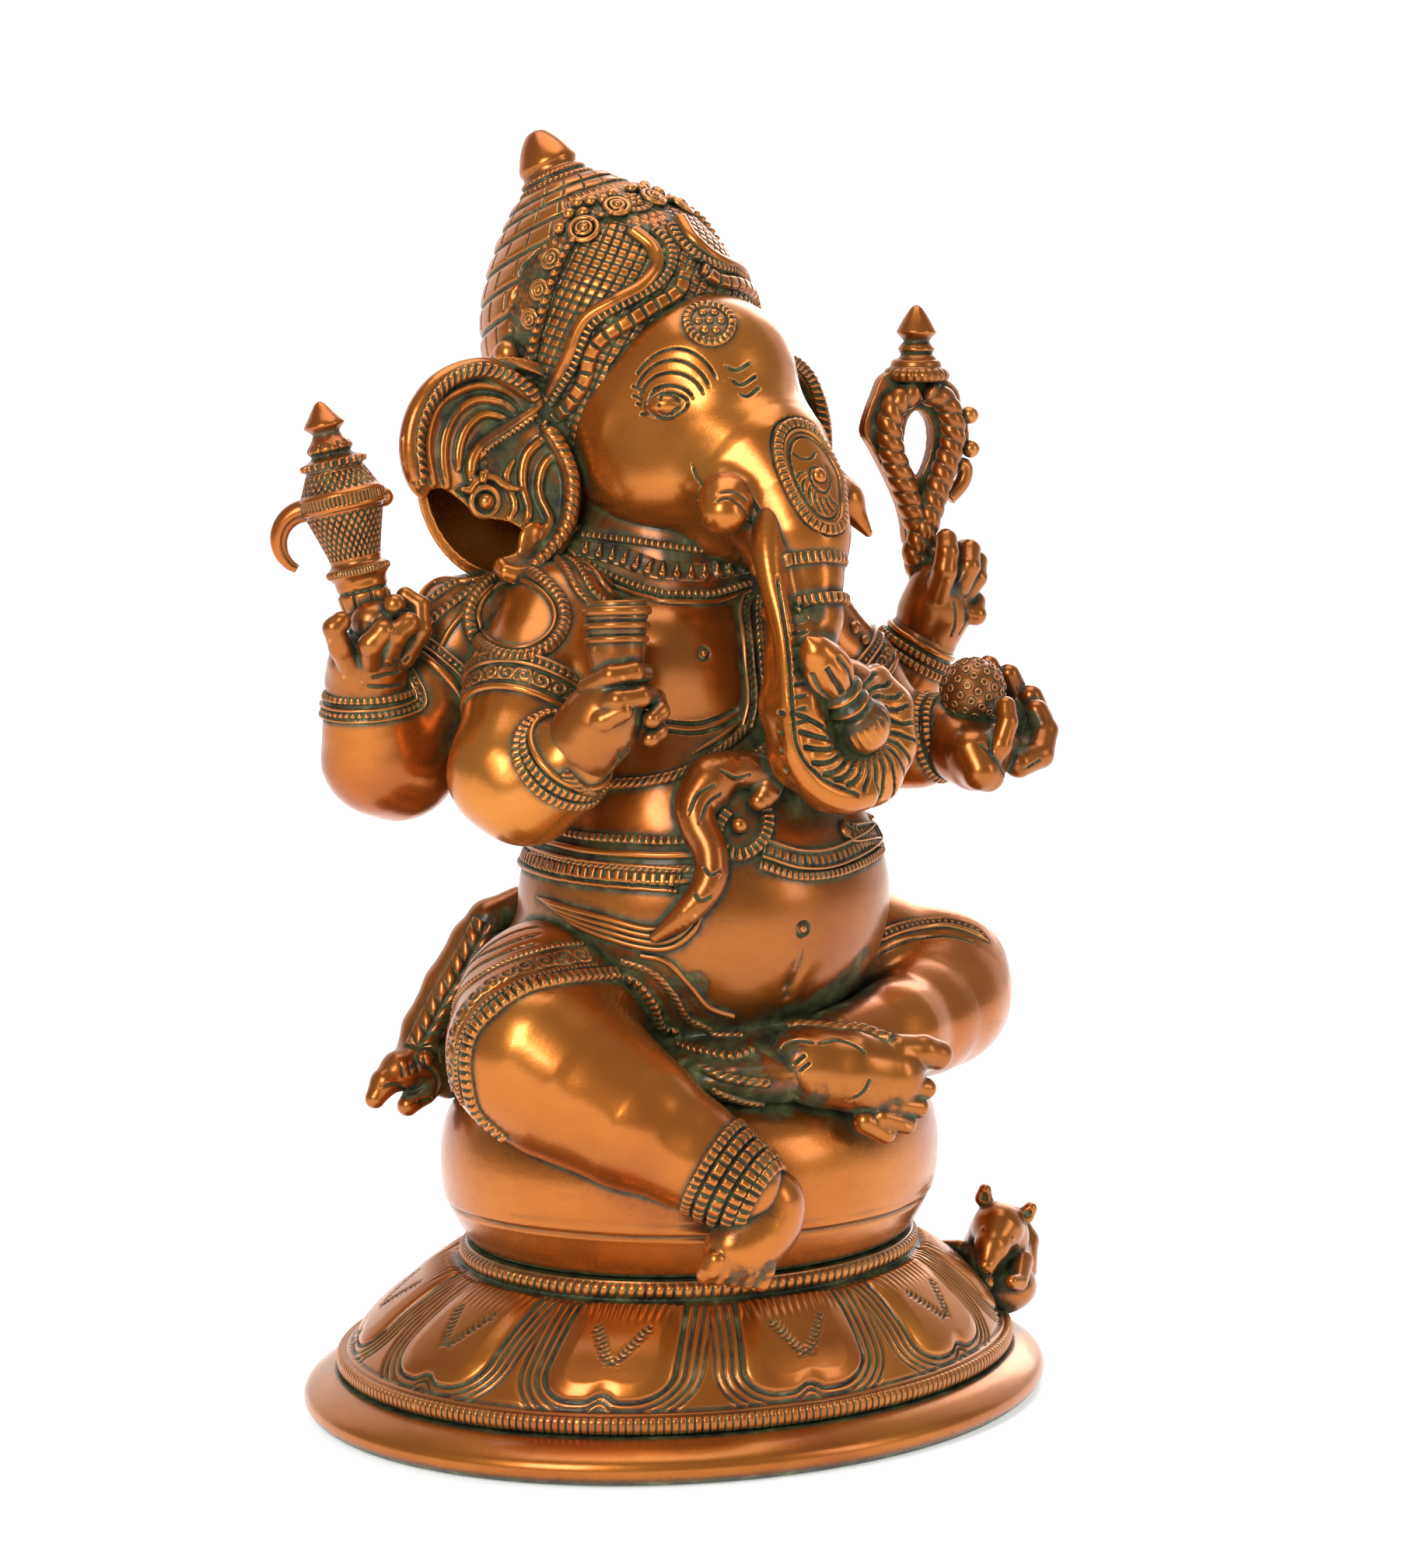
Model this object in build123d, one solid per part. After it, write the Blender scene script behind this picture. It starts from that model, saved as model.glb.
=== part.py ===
"""Seated four-armed Ganesha idol in cast brass, assembled from separate castings.

Frame: millimetres, +Z up, -Y is the front, +X is the statue's own left.
The origin is on the floor under the middle of the oval base.

The body is built up from "forms": lists of balls (x, y, z, radius).  Two balls that follow
each other are joined by the cone that is tangent to both, so a form is a limb, a belly or a
trunk.  A piece that sits on another one is cut to the other one's surface and is located by
a cast-on peg in a socket.
"""

from build123d import *
import math
import os

# ---------------------------------------------------------------- driving dimensions
BASE_A, BASE_B = 124.0, 105.0        # half width and half depth of the oval plinth
PLINTH_H = 13.0
LOTUS_TOP = 52.0
CUSHION_TOP = 110.0
WALL = 5.0                           # casting wall
PEG_CLEARANCE = 0.2                  # radial gap of a peg in its socket
TIER_CENTRE = (1.0, -5.0)            # the upper tiers sit a little forward on the plinth

# Ovals of the plinth ring, from the floor up: half width, half depth, height.
PLINTH_OVALS = [(119, 100, 0), (BASE_A, BASE_B, 4), (123, 104, 8), (114, 97, PLINTH_H)]
PLINTH_BORE = (105, 87)
# Ovals of the lotus tier: half width, half depth, height.
LOTUS_OVALS = [(112, 95, PLINTH_H), (112, 95, 18), (104, 88, 25), (86, 75, 41), (74, 64, 47), (74, 64, LOTUS_TOP)]
LOTUS_HOLLOW = [(99, 81, 6), (97, 80, 14), (80, 69, 35), (66, 57, 46)]
LOTUS_SPIGOT = (104.6, 86.6)
# Ovals of the round seat cushion.
CUSHION_OVALS = [(70, 60, LOTUS_TOP), (75, 65, 58), (80.5, 70, 68), (82, 71, 80), (79.5, 69, 92), (71, 61.5, 102), (58, 50, 107.5), (44, 37, CUSHION_TOP)]
CUSHION_HOLLOW = [(64, 54, LOTUS_TOP - 1), (69, 59, 58), (75, 65, 70), (76, 65, 82), (72, 61, 93), (60, 50, 102)]

# Body forms.
BELLY = [(0, -12, 174, 58), (0, -12, 156, 53)]
CHEST = [(-18, 0, 232, 34), (18, 0, 232, 34)]
NECK = [(0, 6, 255, 26), (0, 8, 272, 26)]
HIPS = [(-30, 9, 127, 32), (30, 9, 127, 32)]
NECK_TOP = 284.0

RIGHT_LEG = [(-36, 0, 130, 28), (-70, -22, 122, 27), (-54, -54, 104, 20), (-39, -80, 85, 13)]
RIGHT_FOOT = [(-28, -85, 79, 8.5), (-38, -82, 72, 10), (-45, -78, 62, 8)]
LEFT_LEG = [(38, 0, 130, 27), (87, -24, 124, 24), (52, -48, 117, 16), (14, -58, 117, 11)]
LEFT_FOOT = [(2, -65, 116, 8.5), (17, -72, 111, 10), (38, -75, 112, 8)]

REAR_RIGHT_ARM = [(-52, 20, 238, 19), (-89, 26, 206, 18), (-98, 24, 217, 14)]
REAR_RIGHT_HAND = [(-100, 23, 226, 13), (-103, 22, 234, 14), (-109, 20, 243, 9)]
FRONT_RIGHT_ARM = [(-50, -4, 238, 19), (-78, -18, 203, 16), (-71, -36, 208, 12.5)]
FRONT_RIGHT_HAND = [(-69, -40, 214, 11), (-66, -46, 220, 12), (-62, -52, 230, 10)]
REAR_LEFT_ARM = [(52, 20, 238, 19), (91, 12, 216, 14.5), (101, 3, 230, 12)]
REAR_LEFT_HAND = [(103, 0, 236, 11), (105, -4, 246, 12), (104, -4, 257, 9)]
FRONT_LEFT_ARM = [(50, -4, 236, 19), (73, -16, 203, 15), (82, -31, 208, 12)]
FRONT_LEFT_HAND = [(84, -38, 206, 11), (87, -46, 203, 12), (96, -58, 207, 9)]

# Head, in a frame of its own: (left, forward, up, radius) about HEAD_CENTRE, turned by HEAD_YAW.
HEAD_CENTRE = (0.0, 18.0, 306.0)
HEAD_YAW = 5.0
SKULL = [(0, 2, 2, 36), (0, 12, 2, 36)]
FACE = [(0, 28, -5, 29), (0, 48, -19, 21.5), (0, 60, -32, 17)]
BROW = [(0, 20, 14, 28), (0, 34, 4, 26)]
TUSK_LIP = [(20, 48, -12, 9), (23, 58, -18, 6.5)]      # left lip; mirrored for the right
RIGHT_TUSK_STUB = [(-23.5, 61, -20.5, 4.9), (-24, 67, -24.5, 4.4)]
LEFT_TUSK = [(23, 60, -19, 4.8), (25, 68, -26, 3.6), (28, 74, -36, 1.4)]
EAR_HINGE = (36.0, 0.0, -2.0)        # left, forward, up of the ear's root; mirrored for the right
EAR_SWEEP = 18.0                     # how far an ear swings back from straight sideways
EAR_CUP_RADIUS = 62.0
EAR_THICKNESS = 4.5

TRUNK = [(5, -46, 276, 16), (3, -58, 264, 14.5), (1, -62, 250, 12.5), (-2, -65, 230, 11.5), (8, -67, 206, 12), (27, -65, 212, 9.5), (30, -64, 226, 6.5)]
TRUNK_CUP = [(14, -62, 216, 13), (8, -60, 226, 10)]
POT_FOOT, POT_TIP = (19, -75, 213), (-7, -75, 240)
POT_PROFILE = [(0, 0), (6, 0), (9, 5), (8.5, 11), (5.5, 14), (6.5, 17), (5, 19), (6, 22), (7.5, 26), (5, 32), (0.8, 37.4), (0, 37.4)]

# Crown: a turned form on an axis that leans back and to the statue's right.
CROWN_CENTRE = (-3, 28, 334)
CROWN_AIM = (-13, 22, 57)
CROWN_PROFILE = [(0, -12), (41, -12), (42.5, -6), (42, 2), (40, 12), (36, 22), (30, 31), (23, 39), (15, 46), (10.5, 50), (0, 50)]
CROWN_HOLLOW = [(0, 2), (34, 2), (33, 12), (29, 22), (22, 31), (14, 38), (0, 42)]
FINIAL_PROFILE = [(0, 50), (9.5, 50), (9, 53), (7, 54), (8, 57), (7, 61), (4, 66), (1.5, 67.5), (0, 67.5)]

# Things held in the hands.
GOAD_FOOT, GOAD_TIP = (-101, 20, 246), (-112, 31, 314)
GOAD_PROFILE = [(0, 2), (7, 2), (8, 15), (9.5, 18), (8, 21), (8.5, 25), (12.5, 37), (13, 41), (12, 43), (8.5, 49), (9, 51),
                (6, 53), (5.5, 56), (6.5, 58), (4.5, 60), (5.5, 63), (6, 65), (1.5, 69.6), (0, 69.6)]
HOOK_CENTRE, HOOK_RADIUS, HOOK_THICKNESS = (-112.5, 30, 272.5), 8.5, 3.2
NOOSE_CENTRE = (103, 6, 296)
NOOSE_HALF_WIDTH, NOOSE_HALF_HEIGHT, NOOSE_DEPTH = 17.5, 21.0, 9.0
NOOSE_EYE = (8.0, 12.0)              # half width and half height of the loop's opening
TUSK_PIECE = [(-62, -50, 238, 7), (-60, -47, 253, 8)]
MODAK = (85, -42, 221, 10)
SASH_TAIL = [(-38, 36, 160, 8), (-58, 43, 130, 10), (-68, 46, 112, 9), (-72, 48, 101, 10)]
MOUSE = [(104, -33, 30, 12), (102, -44, 42, 9), (99, -52, 38, 4.5)]
MOUSE_EARS = [(95, -42, 51, 3.5), (108, -42, 51, 3.5)]

# Fixings of the body to the base, from below.
TIE_X, TIE_Y = 30.0, -4.0
ROD_R, ROD_BOTTOM, ROD_TOP = 3.0, 34.0, 120.0
NUT_AF, NUT_H = 10.0, 5.0
WASHER_R, WASHER_H = 6.0, 1.6
LOTUS_UNDERSIDE = 46.0


# ---------------------------------------------------------------- geometry helpers
def aimed(start, direction):
    """A location at start whose own Z points along direction."""
    return Plane(origin=start, z_dir=direction).location


def distance(p, q):
    return math.dist(p[:3], q[:3])


def tapered_capsule(p, q):
    """Solid of two balls and the cone that is tangent to both."""
    length = distance(p, q)
    r1, r2 = p[3], q[3]
    lean = math.asin((r1 - r2) / length)
    side, rise = math.cos(lean), math.sin(lean)
    half = (lean - math.pi / 2) / 2
    low_mid = (r1 * math.cos(half), r1 * math.sin(half))
    half = (lean + math.pi / 2) / 2
    high_mid = (r2 * math.cos(half), length + r2 * math.sin(half))
    outline = Polyline((r2 * side, length + r2 * rise), (r1 * side, r1 * rise))
    outline += ThreePointArc((0, -r1), low_mid, (r1 * side, r1 * rise))
    outline += ThreePointArc((r2 * side, length + r2 * rise), high_mid, (0, length + r2))
    outline += Line((0, length + r2), (0, -r1))
    turned = revolve(Plane.XZ * make_face(outline), Axis.Z)
    aim = tuple(b - a for a, b in zip(p[:3], q[:3]))
    return aimed(p[:3], aim) * turned


def form(balls):
    """Join a row of balls.  Each later link starts a little inside the ball before it."""
    solid = tapered_capsule(balls[0], balls[1])
    for p, q in zip(balls[1:-1], balls[2:]):
        solid += tapered_capsule((*p[:3], 0.975 * p[3]), q)
    return solid


def shrunk(balls, by):
    return [(x, y, z, r - by) for x, y, z, r in balls]


def head_point(left, forward, up):
    yaw = math.radians(HEAD_YAW)
    x = HEAD_CENTRE[0] + left * math.cos(yaw) + forward * math.sin(yaw)
    y = HEAD_CENTRE[1] + left * math.sin(yaw) - forward * math.cos(yaw)
    return (x, y, HEAD_CENTRE[2] + up)


def head_form(balls):
    return form([(*head_point(a, b, c), r) for a, b, c, r in balls])


def turned(profile, start, direction):
    """A profile of (radius, height) turned about the line from start along direction."""
    face = make_face(Polyline(*profile, profile[0]))
    return aimed(start, direction) * revolve(Plane.XZ * face, Axis.Z)


def oval_stack(ovals, centre=(0.0, 0.0)):
    """Straight-sided tiers through a stack of ovals."""
    rings = [Pos(centre[0], centre[1], z) * Ellipse(a, b) for a, b, z in ovals]
    return loft(rings, ruled=True)


def peg(start, end, radius):
    """A round peg, and the socket that it fits."""
    aim = tuple(b - a for a, b in zip(start, end))
    length = math.dist(start, end)
    place = aimed(start, aim)
    bottom = (Align.CENTER, Align.CENTER, Align.MIN)
    pin = place * Cylinder(radius, length, align=bottom)
    socket = place * Cylinder(radius + PEG_CLEARANCE, length + 0.5, align=bottom)
    return pin, socket


def main_solid(shape):
    """The largest solid, without the crumbs that a cut can leave."""
    return max(shape.solids(), key=lambda s: s.volume)


def box_above(height):
    return Pos(0, 0, height) * Box(300, 300, 400, align=(Align.CENTER, Align.CENTER, Align.MIN))


# ---------------------------------------------------------------- base
def build_plinth():
    bore = extrude(Pos(0, 0, -1) * Ellipse(*PLINTH_BORE), PLINTH_H + 2)
    return oval_stack(PLINTH_OVALS) - bore


def lotus_outer():
    return loft_with_shift(LOTUS_OVALS)


def loft_with_shift(ovals):
    """Tiers whose centre drifts from the plinth's centre to the upper tiers' centre."""
    low, high = ovals[0][2], LOTUS_TOP
    rings = []
    for a, b, z in ovals:
        share = max(0.0, (z - 18) / (high - 18)) if high > low else 0.0
        rings.append(Pos(TIER_CENTRE[0] * share, TIER_CENTRE[1] * share, z) * Ellipse(a, b))
    return loft(rings, ruled=True)


def tie_places():
    return [(side * TIE_X, TIE_Y) for side in (-1, 1)]


def tie_holes(bottom, top, radius):
    holes = [Pos(x, y, bottom) * Cylinder(radius, top - bottom, align=(Align.CENTER, Align.CENTER, Align.MIN))
             for x, y in tie_places()]
    return holes[0] + holes[1]


def build_lotus(outer):
    spigot = extrude(Pos(0, 0, 7) * Ellipse(*LOTUS_SPIGOT), PLINTH_H - 7)
    body = outer + spigot
    body -= loft_with_shift(LOTUS_HOLLOW)
    return body - tie_holes(40, 60, ROD_R + 0.3)


def build_cushion(outer):
    return outer - oval_stack(CUSHION_HOLLOW, TIER_CENTRE) - tie_holes(90, 120, ROD_R + 0.3)


# ---------------------------------------------------------------- fixings
def build_tie_rods():
    rods = [Pos(x, y, ROD_BOTTOM) * Cylinder(ROD_R, ROD_TOP - ROD_BOTTOM, align=(Align.CENTER, Align.CENTER, Align.MIN))
            for x, y in tie_places()]
    return Compound(children=rods)


def build_washers():
    ring = Cylinder(WASHER_R, WASHER_H, align=(Align.CENTER, Align.CENTER, Align.MAX))
    ring -= Cylinder(ROD_R + 0.2, 4 * WASHER_H)
    return Compound(children=[Pos(x, y, LOTUS_UNDERSIDE) * ring for x, y in tie_places()])


def build_nuts():
    hexagon = RegularPolygon(NUT_AF / 2, 6, major_radius=False)
    nut = extrude(hexagon - Circle(ROD_R + 0.05), NUT_H)
    low = LOTUS_UNDERSIDE - WASHER_H - NUT_H
    return Compound(children=[Pos(x, y, low) * nut for x, y in tie_places()])


# ---------------------------------------------------------------- ears and held things
def build_ear(side):
    """A thin cupped ear: a lobed outline cut from a ball-shaped shell.  side is 1 for the left ear."""
    outline = Pos(24, 9) * Ellipse(25, 21)
    outline += Pos(14, -14) * Ellipse(17, 19)
    outline += Pos(4, -30) * Ellipse(9, 9)
    shell = Sphere(EAR_CUP_RADIUS) - Sphere(EAR_CUP_RADIUS - EAR_THICKNESS)
    ear = extrude(outline, 30) & (Pos(22, 0, EAR_CUP_RADIUS) * shell)
    ear = main_solid(ear)
    if side < 0:
        ear = mirror(ear, Plane.YZ)
    upright = Rot(90, 0, 0) * ear
    left, forward, up = EAR_HINGE
    return Pos(*head_point(side * left, forward, up)) * Rot(0, 0, HEAD_YAW + side * EAR_SWEEP) * upright


def build_goad():
    aim = tuple(b - a for a, b in zip(GOAD_FOOT, GOAD_TIP))
    staff = turned(GOAD_PROFILE, GOAD_FOOT, aim)
    section = Pos(HOOK_RADIUS, 0) * Circle(HOOK_THICKNESS)
    crescent = revolve(Plane.XZ * section, Axis.Z, revolution_arc=205)
    swing = Rot(0, 0, -38) * Rot(90, 0, 0)
    crescent = Pos(*HOOK_CENTRE) * swing * Rot(0, 0, 20) * crescent
    return staff + crescent


def build_noose():
    half_w, half_h = NOOSE_HALF_WIDTH, NOOSE_HALF_HEIGHT
    loop = Ellipse(half_w, half_h)
    neck = Pos(0, -half_h) * Rectangle(15, 24)
    cap = Pos(0, half_h - 3) * Rectangle(14, 10)
    plate = extrude(loop + neck + cap - Ellipse(*NOOSE_EYE), NOOSE_DEPTH / 2, both=True)
    plate = Pos(*NOOSE_CENTRE) * Rot(90, 0, 0) * plate
    bud = turned([(0, 22), (8, 22), (8, 26), (5, 28), (6.5, 31), (2, 38), (0, 38)], NOOSE_CENTRE, (0.1, 0.1, 1))
    return plate + bud


def build_mouse():
    body = form(MOUSE)
    for x, y, z, r in MOUSE_EARS:
        body += Pos(x, y, z) * Sphere(r)
    return body


# ---------------------------------------------------------------- assembly
def build_all():
    parts = {}
    lotus_body = lotus_outer()
    cushion_body = oval_stack(CUSHION_OVALS, TIER_CENTRE)
    parts["plinth"] = build_plinth()
    parts["lotus_base"] = build_lotus(lotus_body)
    parts["seat_cushion"] = build_cushion(cushion_body)
    parts["tie_rods"] = build_tie_rods()
    parts["tie_rod_washers"] = build_washers()
    parts["tie_rod_nuts"] = build_nuts()

    torso_outer = form(BELLY) + form(CHEST) + form(NECK) + form(HIPS)
    torso_outer -= box_above(NECK_TOP)
    torso_outer -= cushion_body
    torso_hollow = form(shrunk(BELLY, WALL)) + form(shrunk(CHEST, WALL))
    torso_hollow &= box_above(122)
    torso = torso_outer - torso_hollow - tie_holes(100, ROD_TOP + 0.5, ROD_R + 0.1)

    head_outer = head_form(SKULL) + head_form(FACE) + head_form(BROW)
    for side in (-1, 1):
        head_outer += head_form([(side * a, b, c, r) for a, b, c, r in TUSK_LIP])
    head = head_outer - head_form(shrunk(SKULL, WALL)) - torso_outer

    crown_outer = turned(CROWN_PROFILE, CROWN_CENTRE, CROWN_AIM)
    crown = crown_outer - turned(CROWN_HOLLOW, CROWN_CENTRE, CROWN_AIM) - head_outer
    finial = turned(FINIAL_PROFILE, CROWN_CENTRE, CROWN_AIM)
    aim_length = math.hypot(*CROWN_AIM)
    unit = tuple(v / aim_length for v in CROWN_AIM)
    finial_foot = tuple(c + 44 * u for c, u in zip(CROWN_CENTRE, unit))
    finial_mid = tuple(c + 53 * u for c, u in zip(CROWN_CENTRE, unit))
    pin, socket = peg(finial_mid, finial_foot, 4)
    parts["crown"] = crown - socket
    parts["crown_finial"] = finial + pin

    for name, side in (("right_ear", -1), ("left_ear", 1)):
        ear = build_ear(side) - head_outer - crown_outer
        ear = main_solid(ear)
        outside = head_point(side * 40, -1, -2)
        inside = head_point(side * 32, 0, -2)
        pin, socket = peg(outside, inside, 2)
        parts[name] = ear
        head -= socket
        parts[name] = main_solid(ear + pin)

    trunk_outer = form(TRUNK) + form(TRUNK_CUP)
    trunk = main_solid(trunk_outer - head_outer - torso_outer)
    pin, socket = peg((3, -58, 259), head_point(0, 50, -28), 5)
    trunk += pin
    head -= socket
    pot_aim = tuple(b - a for a, b in zip(POT_FOOT, POT_TIP))
    pot = main_solid(turned(POT_PROFILE, POT_FOOT, pot_aim) - trunk_outer)
    pin, socket = peg((13.5, -80, 219), (13.5, -64, 217), 3)
    parts["trunk"] = trunk - socket
    parts["trunk_pot"] = pot + pin

    tusk_pegs = ((-1, RIGHT_TUSK_STUB, "right_tusk_stub"), (1, LEFT_TUSK, "left_tusk"))
    for side, balls, name in tusk_pegs:
        tusk = main_solid(head_form(balls) - head_outer - trunk_outer)
        pin, socket = peg(head_point(side * 23, 65, -22), head_point(side * 22, 55, -14), 1.8)
        parts[name] = main_solid(tusk + (pin - trunk_outer))
        head -= socket
    parts["head"] = head

    limbs = (
        ("right_leg", RIGHT_LEG, (-66, -20, 123), (-48, -10, 126), 7),
        ("left_leg", LEFT_LEG, (68, -14, 127), (50, -6, 128), 7),
        ("rear_right_arm", REAR_RIGHT_ARM, (-60, 24, 230), (-42, 21, 236), 5),
        ("rear_left_arm", REAR_LEFT_ARM, (60, 22, 232), (42, 21, 236), 5),
        ("front_right_arm", FRONT_RIGHT_ARM, (-58, -10, 226), (-44, -6, 232), 5),
        ("front_left_arm", FRONT_LEFT_ARM, (58, -10, 224), (44, -6, 230), 5),
    )
    outer = {}
    rear_arm = {"front_right_arm": "rear_right_arm", "front_left_arm": "rear_left_arm"}
    for name, balls, outside, inside, radius in limbs:
        limb = form(balls) - torso_outer - cushion_body
        if name in rear_arm:
            limb -= outer[rear_arm[name]]
        limb = main_solid(limb)
        outer[name] = limb
        pin, socket = peg(outside, inside, radius)
        parts[name] = limb + pin
        torso -= socket

    ends = (
        ("right_foot", RIGHT_FOOT, "right_leg", (-38, -82.5, 67), (-40, -79, 86), 4),
        ("left_foot", LEFT_FOOT, "left_leg", (6, -66, 115), (20, -58, 117), 4),
        ("rear_right_hand", REAR_RIGHT_HAND, "rear_right_arm", (-102, 22, 232), (-96, 24, 214), 4),
        ("rear_left_hand", REAR_LEFT_HAND, "rear_left_arm", (104, -2, 242), (99, 5, 227), 4),
        ("front_right_hand", FRONT_RIGHT_HAND, "front_right_arm", (-66, -46, 220), (-73, -32, 206), 4),
        ("front_left_hand", FRONT_LEFT_HAND, "front_left_arm", (87, -46, 203), (79, -26, 206), 4),
    )
    for name, balls, parent, outside, inside, radius in ends:
        end = form(balls) - outer[parent] - cushion_body - torso_outer
        end = main_solid(end)
        outer[name] = end
        pin, socket = peg(outside, inside, radius)
        parts[name] = end + pin
        parts[parent] -= socket
    for name in outer:
        parts.setdefault(name, outer[name])
    parts["torso"] = torso

    held = (
        ("goad", build_goad(), "rear_right_hand", (-102, 21, 252), (-103, 22, 238), 4),
        ("noose", build_noose(), "rear_left_hand", (103.5, -1, 268), (104, -4, 252), 4),
        ("tusk_fragment", form(TUSK_PIECE), "front_right_hand", (-61.5, -49, 242), (-64, -50, 228), 3),
        ("modak", Pos(*MODAK[:3]) * Sphere(MODAK[3]), "front_left_hand", (86, -46, 216), (88, -49, 204), 3),
    )
    for name, body, parent, outside, inside, radius in held:
        body -= outer[parent]
        if name == "modak":
            body -= outer["front_left_arm"]
        body = main_solid(body)
        pin, socket = peg(outside, inside, radius)
        parts[name] = body + pin
        parts[parent] -= socket

    sash = main_solid(form(SASH_TAIL) - torso_outer - outer["right_leg"] - cushion_body)
    pin, socket = peg((-46, 38, 148), (-32, 28, 148), 3)
    parts["sash_tail"] = sash + pin
    parts["torso"] -= socket

    mouse = main_solid(build_mouse() - lotus_body - oval_stack(PLINTH_OVALS))
    pin, socket = peg((101, -34, 34), (97, -34, 19), 2.5)
    parts["mouse"] = mouse + pin
    parts["lotus_base"] -= socket
    return parts


os.makedirs("parts", exist_ok=True)
for node, solid in build_all().items():
    export_step(solid, os.path.join("parts", node + ".step"))
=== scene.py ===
"""Looks of the seated Ganesha idol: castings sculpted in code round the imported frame.

Shapes are worked out in millimetres in the frame's own axes (+Z up, -Y front, +X the idol's
left) and turned to metres when a mesh is made.  A casting is a Sculpt: balls and cones that
are blended on a grid and skinned.  Chased lines move the skin's points; bands of beads, rope
and ticks are strips laid along lines on a skin.
"""
import math

import bpy
import numpy as np
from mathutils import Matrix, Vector, kdtree
from mathutils.bvhtree import BVHTree


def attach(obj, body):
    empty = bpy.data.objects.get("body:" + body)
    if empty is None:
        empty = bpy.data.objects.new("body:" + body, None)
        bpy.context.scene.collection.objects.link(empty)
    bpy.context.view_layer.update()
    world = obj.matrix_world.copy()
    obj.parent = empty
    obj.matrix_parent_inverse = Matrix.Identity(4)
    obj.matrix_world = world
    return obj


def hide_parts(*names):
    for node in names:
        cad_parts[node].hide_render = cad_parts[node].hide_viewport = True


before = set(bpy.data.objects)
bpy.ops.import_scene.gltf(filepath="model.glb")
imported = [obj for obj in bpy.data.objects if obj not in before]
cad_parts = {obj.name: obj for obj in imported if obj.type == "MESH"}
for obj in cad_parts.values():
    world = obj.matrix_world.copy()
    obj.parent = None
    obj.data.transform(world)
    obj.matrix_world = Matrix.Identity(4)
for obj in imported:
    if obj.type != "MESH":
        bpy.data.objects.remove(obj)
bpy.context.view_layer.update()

MM = 0.001
PI = math.pi


# ================================================================ grid and skin
def soft_min(a, b, k):
    """Union of two distances, rounded over a width k."""
    if k <= 0:
        return np.minimum(a, b)
    h = np.clip(0.5 + 0.5 * (b - a) / k, 0, 1)
    return b * (1 - h) + a * h - k * h * (1 - h)


def cone_distance(x, y, z, p, q):
    """Distance to a bar that runs from ball p to ball q."""
    ax, ay, az, ra = p
    bx, by, bz = q[0] - ax, q[1] - ay, q[2] - az
    length2 = bx * bx + by * by + bz * bz + 1e-9
    px, py, pz = x - ax, y - ay, z - az
    t = np.clip((px * bx + py * by + pz * bz) / length2, 0, 1)
    away = np.sqrt((px - t * bx) ** 2 + (py - t * by) ** 2 + (pz - t * bz) ** 2)
    return away - (ra + t * (q[3] - ra))


def unit(v):
    v = np.asarray(v, float)
    return v / (np.linalg.norm(v) + 1e-12)


def axes_from(forward, up=(0, 0, 1)):
    """Rows: side, forward, up of a right-handed set that points along forward."""
    f = unit(forward)
    s = unit(np.cross(f, up))
    return np.array([s, f, np.cross(s, f)])


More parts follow.
